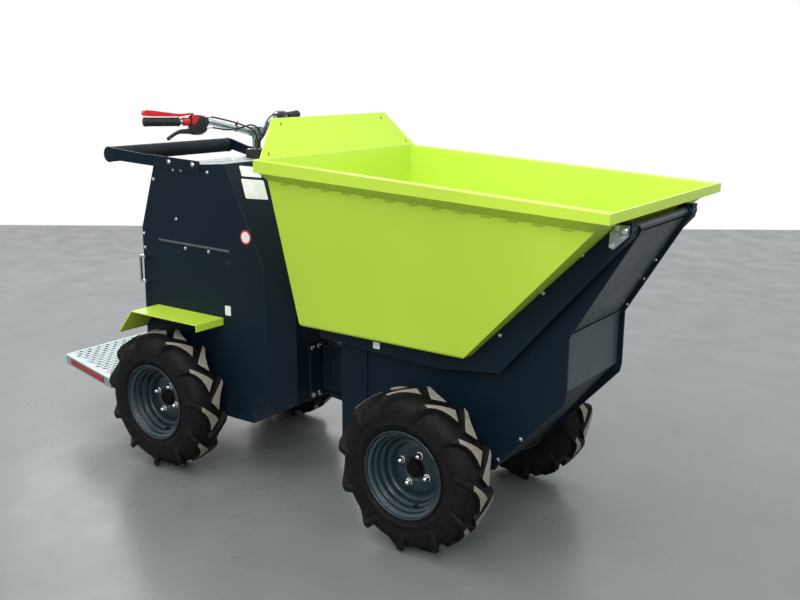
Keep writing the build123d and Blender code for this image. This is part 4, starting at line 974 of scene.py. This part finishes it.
def make_stem_details():
    """Web under the stem's head, clamp bolts, the bearing's bolts and the cable ties."""
    verts, faces = prism(STEM_WEB, STEM_X - STEM_WEB_HALF, STEM_X + STEM_WEB_HALF)
    piece("stem_web", [at(v.z, v.x, v.y) for v in verts], faces, "tube", "handlebar", bevel=0.0008)
    places = [(at(STEM_X + x, y, BAR_Z + STEM_HEAD_RISE), UP) for x, y in CLAMP_BOLTS]
    bolts("stem_clamp_bolts", button_bolt(0.0042, 0.004), places, "handlebar")
    places = [(at(STEM_X + x, y, BEARING_TOP_Z), UP) for x, y in BEARING_BOLTS]
    bolts("bearing_bolts", button_bolt(0.0042, 0.003), places, "rear_frame")
    verts, faces = cable_tie()
    ties = [([at(v.x, -side * v.y, v.z) for v in verts], faces) for side in HALVES]
    assembly("cable_ties", ties, "black", "handlebar", sharp=40)


# ---- Fasteners and plates of the frames ----

ARM_FACE = 0.2563  # outer faces, as distances from the middle
CRADLE_FACE = 0.252
COVER_INNER_FACE = 0.196
ARM_BOLTS = mm([(-588, 1124), (-465, 1121)])
SIDE_SCREWS = mm([
    (-574, 1096), (-533, 1097), (-399, 1097), (-570, 916), (-528, 812), (-408, 813), (-684, 1054),
    (-752, 846), (-750, 792),
])
SIDE_HOLES = mm([(-308, 785), (-566, 795)])
PLUG = mm([(0, 0.2), (5.2, 0.2), (6.4, 1), (7.2, 0.8), (7.6, 0)])
CRADLE_BOLTS = mm([(794, 703), (927, 847), (1039, 969)])
NOSE_BOLTS = mm([(772, 291), (847, 375)])
COVER_SCREWS = mm([(996.5, 738), (1046, 826), (1080, 890)])
REAR_FOOT = Vector((-0.7714, 0, 0.227))
REAR_KNEE = Vector((-0.7636, 0, 0.869))
REAR_HEAD = Vector((-0.6893, 0, 1.088))
PANEL_SCREW_Y = (-0.228, 0.228)
PANEL_RUNS = [
    # foot, head, outward normal, places of the screws along the run
    (REAR_FOOT, REAR_KNEE, (-1, 0, 0.012), (0.06, 0.36, 0.66, 0.94)),
    (REAR_KNEE, REAR_HEAD, (-0.219, 0, 0.0743), (0.18, 0.90)),
]
FOOT_FACE = -0.7776  # rear face of the platform's hinge feet
FOOT_Z = 0.262
FOOT_BOLTS = mm([(-14, -27), (-14, 27), (14, -27), (14, 27)])
BRACKET_FACE = -0.0567  # front face of the articulation bracket
BRACKET_BOLTS = mm([(60, 302), (95, 302), (60, 478), (95, 478)])


def on_sides(points, half, out=1):
    """Places on both side faces from (x, z) points, on their inner faces if out is -1."""
    return [(at(x, side * half, z), (0, side * out, 0)) for x, z in points for side in HALVES]


def side_slab(outline, y_low, y_high):
    """Prism of (x, z) points between two y planes."""
    verts, faces = prism(outline, y_low, y_high)
    return [at(v.x, v.z, v.y) for v in verts], faces


def make_fasteners():
    """Bolts, screws and plugs of the frames, arms, panels, covers and cradle."""
    bolts("arm_bolts", hex_bolt(0.0068, 0.005), on_sides(ARM_BOLTS, ARM_FACE), "rear_frame")
    bolts("cabinet_screws", button_bolt(0.0045, 0.0032), on_sides(SIDE_SCREWS, CAB_HALF), "rear_frame")
    places = []
    for foot, head, normal, shares in PANEL_RUNS:
        points = [foot.lerp(head, share) for share in shares]
        places += [(at(point.x, y, point.z), normal) for point in points for y in PANEL_SCREW_Y]
    bolts("rear_panel_screws", button_bolt(0.0055, 0.0032), places, "rear_frame")
    places = [(at(FOOT_FACE, side * KNUCKLE_Y + y, FOOT_Z + z), (-1, 0, 0))
              for side in HALVES for y, z in FOOT_BOLTS]
    bolts("platform_foot_bolts", hex_bolt(0.0070, 0.005), places, "rear_frame")
    bolts("cradle_bolts", hex_bolt(0.0046, 0.0035), on_sides(CRADLE_BOLTS, CRADLE_FACE), "tub")
    bolts("nose_bolts", hex_bolt(0.0062, 0.0045), on_sides(NOSE_BOLTS, NOSE_HALF), "front_frame")
    places = on_sides(COVER_SCREWS, COVER_INNER_FACE, -1)
    bolts("cover_screws", button_bolt(0.0032, 0.0022), places, "front_frame")
    places = [(at(BRACKET_FACE, side * y, z), (1, 0, 0)) for side in HALVES for y, z in BRACKET_BOLTS]
    bolts("bracket_bolts", hex_bolt(0.0080, 0.005), places, "rear_frame")
    plugs = [placed(lathe(PLUG, 20), facing(*place)) for place in on_sides(SIDE_HOLES, CAB_HALF)]
    assembly("cabinet_plugs", plugs, "black", "rear_frame", sharp=50)


HINGE = (1.157, 1.047)
HINGE_TUBE_END = 0.2601
TUBE_PLUG = mm([(0, 3.2), (6, 3), (10, 1.8), (11.2, 0.4), (11.2, 0)])
FLAG = mm([(1116, 1040), (1141, 1062), (1170, 1060), (1168, 1031), (1128, 993), (1115, 998)])
FLAG_INNER = CRADLE_FACE + 0.0002
FLAG_OUTER = CRADLE_FACE + 0.0032
FLAG_BOLTS = mm([(1136, 1053), (1152, 1028), (1122.5, 1004)])
PIVOT_COLLAR = mm([(16.2, 0), (27, 0), (27.5, 0.5), (27.5, 3), (16.2, 3.5)])
PIVOT_CLIP = mm([(16.2, 4.5), (20.5, 4.5), (20.5, 6.2), (16.2, 6.2)])
PIVOT_ENDS = ((0.4902, 1), (0.2898, -1))
CYLINDER_BASE = Vector((0.695, 0, 0.305))
CYLINDER_EYE = Vector((1.010, 0, 0.850))
BARREL_SHORT = 0.046  # from the barrel's end to the rod's eye
GLAND = mm([(16.8, -16), (26.2, -16), (28, -14), (28, -3), (26.5, -0.5), (19.5, 1.5), (16.8, 1.5)])


def make_hinge_details():
    """Flags with bolts at the hinge tube's ends, the pivot pin's collars and the cylinder's gland."""
    flags = [side_slab(FLAG, side * FLAG_INNER, side * FLAG_OUTER) for side in HALVES]
    assembly("hinge_flags", flags, "zinc", "tub", bevel=0.0008)
    bolts("hinge_flag_bolts", hex_bolt(0.0060, 0.0045), on_sides(FLAG_BOLTS, FLAG_OUTER), "tub", "chrome")
    ends = on_sides([HINGE], HINGE_TUBE_END)
    plugs = [lathe(TUBE_PLUG, 28, point, normal) for point, normal in ends]
    assembly("hinge_tube_plugs", plugs, "chrome", "front_frame", sharp=60)
    collars = [lathe(profile, 36, at(0, 0, z), (0, 0, up), closed=True)
               for z, up in PIVOT_ENDS for profile in (PIVOT_COLLAR, PIVOT_CLIP)]
    assembly("pivot_pin_collars", collars, "tube", "front_frame", sharp=35)
    run = CYLINDER_EYE - CYLINDER_BASE
    end = run.length - BARREL_SHORT
    gland = [(radius, end + along) for radius, along in GLAND]
    gland = lathe(gland, 36, at(*CYLINDER_BASE), run, closed=True)
    piece("cylinder_gland", *gland, "black", "tip_barrel", sharp=35)


# ---- Welds, slots and labels ----

WELD_REAR = Vector((0.060, 0.3925, 1.1085))
WELD_FRONT = Vector((1.150, 0.3823, 1.0545))
WELD_PITCH = 0.080
WELD_LENGTH = 0.030
WELD_FIRST = 0.020
WELD_RIPPLES = 10
WELD_SEAT = 0.0012  # out and down from the edge
WELD_WAVES = (0.0006, 0.0004)  # further out and down, at every second ripple
WELD_RADIUS = 0.0030
SPLASH_LEAN = 0.447  # rearward run of the splash board for each metre up
SPLASH_FOOT = (0.0209, 1.175)
SPLASH_SLOTS = mm([(272, 1280), (375, 1192)])
SLOT_TURN = 0.5


def make_welds():
    """Stitch welds along the foot of the lip's slanted underside, each a rippled bead."""
    run = WELD_FRONT - WELD_REAR
    beads = []
    for index in range(int(run.length / WELD_PITCH)):
        start = index * WELD_PITCH + WELD_FIRST
        points = [WELD_REAR + run.normalized() * (start + WELD_LENGTH * step / WELD_RIPPLES)
                  for step in range(WELD_RIPPLES + 1)]
        for side in HALVES:
            line = []
            for step, point in enumerate(points):
                out, down = (WELD_SEAT + wave * (step % 2) for wave in WELD_WAVES)
                line.append(at(point.x, side * (point.y + out), point.z - down))
            beads.append(tube_along(line, WELD_RADIUS, 8))
    assembly("lip_stitch_welds", beads, "weld", "tub", sharp=60)


def make_splash_slots():
    """Small slanted slots in the splash board, drawn as near-black inserts: painted shade in place of
    openings.
    """
    slot = prism(rounded_rect(0.0034, 0.0130, 0.0016, 3), -0.0038, 0.0003)
    slots = []
    for y, z in SPLASH_SLOTS:
        x = SPLASH_FOOT[0] - SPLASH_LEAN * (z - SPLASH_FOOT[1])
        for side in HALVES:
            place = facing(at(x, side * y, z), (1, 0, SPLASH_LEAN))
            slots.append(placed(slot, place @ Matrix.Rotation(side * SLOT_TURN, 4, "Z")))
    assembly("splash_slots", slots, "hole", "tub")


SLOPE = (1, 0, 0.495)  # outward normal of the cabinet's slanted front
SIDE = (0, -1, 0)
CABINET_LABELS = [
    # width, height, corner radius, place, outward normal, turn in degrees
    (0.094, 0.040, 0.005, (-0.2962, -0.140, 1.097), SLOPE, -9),
    (0.106, 0.074, 0.005, (-0.2660, -0.152, 1.038), SLOPE, -9),
    (0.028, 0.035, 0.003, (-0.320, -CAB_HALF, 0.608), SIDE, 0),
]
CRADLE_LABEL = (0.026, 0.022, 0.002, (0.345, -CRADLE_FACE, 0.594), SIDE, 0)
SIGN_FACE = mm([(0, 0.5), (19.5, 0.5), (20, 0.1)])
SIGN_RIM = mm([(20, 0.1), (20, 0.6), (25.5, 0.6), (26, 0.1)])
SIGN_PLACE = (-0.222, -CAB_HALF, 0.884)
STRIPE = mm([(-669, 826.5), (-669, 834.5), (-304, 829.5), (-304, 821.5)])
FILM_LOW = 0.0001  # lower and upper face of a film over its sheet
FILM_TOP = 0.0006


def label(width, height, radius, place, normal, turn):
    """A thin blank plate with round corners on a face, turned in it."""
    matrix = facing(at(*place), normal) @ Matrix.Rotation(radians(turn), 4, "Z")
    return placed(prism(rounded_rect(width, height, radius), FILM_LOW, FILM_TOP), matrix)


def make_labels():
    """Blank labels, the round sign with its plain rim, and the grey stripes."""
    assembly("cabinet_labels", [label(*row) for row in CABINET_LABELS], "label", "rear_frame")
    place = facing(at(*SIGN_PLACE), SIDE)
    piece("round_sign_face", *placed(lathe(SIGN_FACE, 40), place), "label", "rear_frame")
    piece("round_sign_rim", *placed(lathe(SIGN_RIM, 40), place), "red", "rear_frame")
    for name, side in (("right", -1), ("left", 1)):
        slab = side_slab(STRIPE, side * (CAB_HALF + FILM_LOW), side * (CAB_HALF + FILM_TOP))
        piece("cabinet_stripe_" + name, *slab, "stripe", "rear_frame")
    piece("cradle_label", *label(*CRADLE_LABEL), "label", "tub")


# ---- Studio ----

SIGHT = radians(35.2975)  # turn of the camera's line of sight about the upright
CAMERA_TILT = radians(76.5318)
CAMERA_ROLL = radians(0.3641)
CAMERA_PLACE = (2.1268, -2.6401, 1.4574)
CAMERA_LENS = 43.57
SENSOR_WIDTH = 36.0
FLOOR_REACH = (-30, 5.6)  # along the line of sight, from behind the camera to the far edge
FLOOR_HALF = 40
AMBIENT = 0.85
LAMPS = [
    # name, watts, size, place, aim
    ("overhead", 135.0, (5.0, 4.0), (0.3, -0.4, 4.2), (0.0, 0.0, 0.5)),
    ("front_side", 122.0, (3.0, 2.4), (2.4, -3.6, 3.2), (0.2, 0.0, 0.6)),
    ("rear_side", 40.0, (3.0, 2.0), (-3.6, 2.6, 2.6), (-0.2, 0.0, 0.6)),
]


def make_floor():
    """Grey polished floor with faint patches, square to the camera's line of sight."""
    ahead = Vector((-sin(SIGHT), cos(SIGHT), 0))
    beside = Vector((cos(SIGHT), sin(SIGHT), 0))
    near, far = FLOOR_REACH
    corners = [(near, -FLOOR_HALF), (near, FLOOR_HALF), (far, FLOOR_HALF), (far, -FLOOR_HALF)]
    mesh = bpy.data.meshes.new("floor")
    mesh.from_pydata([tuple(ahead * a + beside * b) for a, b in corners], [], [(0, 1, 2, 3)])
    floor = shown("floor", mesh)
    made = Shader("studio_floor", (0.16, 0.175, 0.177), 0.30, specular=0.5)
    patch = made.ramp(made.noise(1.3, 6.0, 0.6), 0.3, 0.7)
    made.color(made.mix(patch, (0.140, 0.158, 0.160), (0.172, 0.190, 0.191)))
    made.rough(made.ramp(made.noise(5.0, 5.0), 0.3, 0.7, 0.24, 0.36))
    mesh.materials.append(made.mat)


def make_world():
    """White surroundings that light the scene a little less than they show."""
    world = bpy.data.worlds.new("studio")
    scene.world = world
    world.use_nodes = True
    tree = world.node_tree
    background = tree.nodes["Background"]
    background.inputs["Color"].default_value = (1, 1, 1, 1)
    path = add_node(tree, "LightPath")
    seen = path.outputs["Is Camera Ray"]
    for ray in ("Is Glossy Ray", "Is Transmission Ray"):
        sockets = {0: seen, 1: path.outputs[ray]}
        seen = add_node(tree, "Math", sockets, operation="MAXIMUM").outputs[0]
    strength = add_node(tree, "MapRange", {"Value": seen, "To Min": AMBIENT, "To Max": 1.0})
    tree.links.new(strength.outputs[0], background.inputs["Strength"])


def make_lamps():
    """Soft rectangular lamps."""
    for name, energy, size, place, aim in LAMPS:
        light = bpy.data.lights.new(name, "AREA")
        light.energy = energy
        light.shape = "RECTANGLE"
        light.size, light.size_y = size
        holder = shown(name, light)
        holder.location = place
        holder.rotation_euler = (Vector(aim) - Vector(place)).to_track_quat("-Z", "Y").to_euler()


def make_camera():
    """Camera before the right front corner."""
    camera = bpy.data.cameras.new("camera")
    camera.sensor_width = SENSOR_WIDTH
    camera.lens = CAMERA_LENS
    holder = shown("camera", camera)
    turn = Matrix.Rotation(SIGHT, 4, "Z") @ Matrix.Rotation(CAMERA_TILT, 4, "X")
    turn = turn @ Matrix.Rotation(CAMERA_ROLL, 4, "Z")
    holder.matrix_world = Matrix.Translation(at(*CAMERA_PLACE)) @ turn
    scene.camera = holder


scene.view_settings.view_transform = "Standard"
make_floor()
make_world()
make_lamps()
make_camera()
finish_cad_nodes()
make_wheels()
make_platform()
make_hip_bar()
make_grips()
make_housings()
make_levers()
make_stem_details()
make_fasteners()
make_hinge_details()
make_welds()
make_splash_slots()
make_labels()
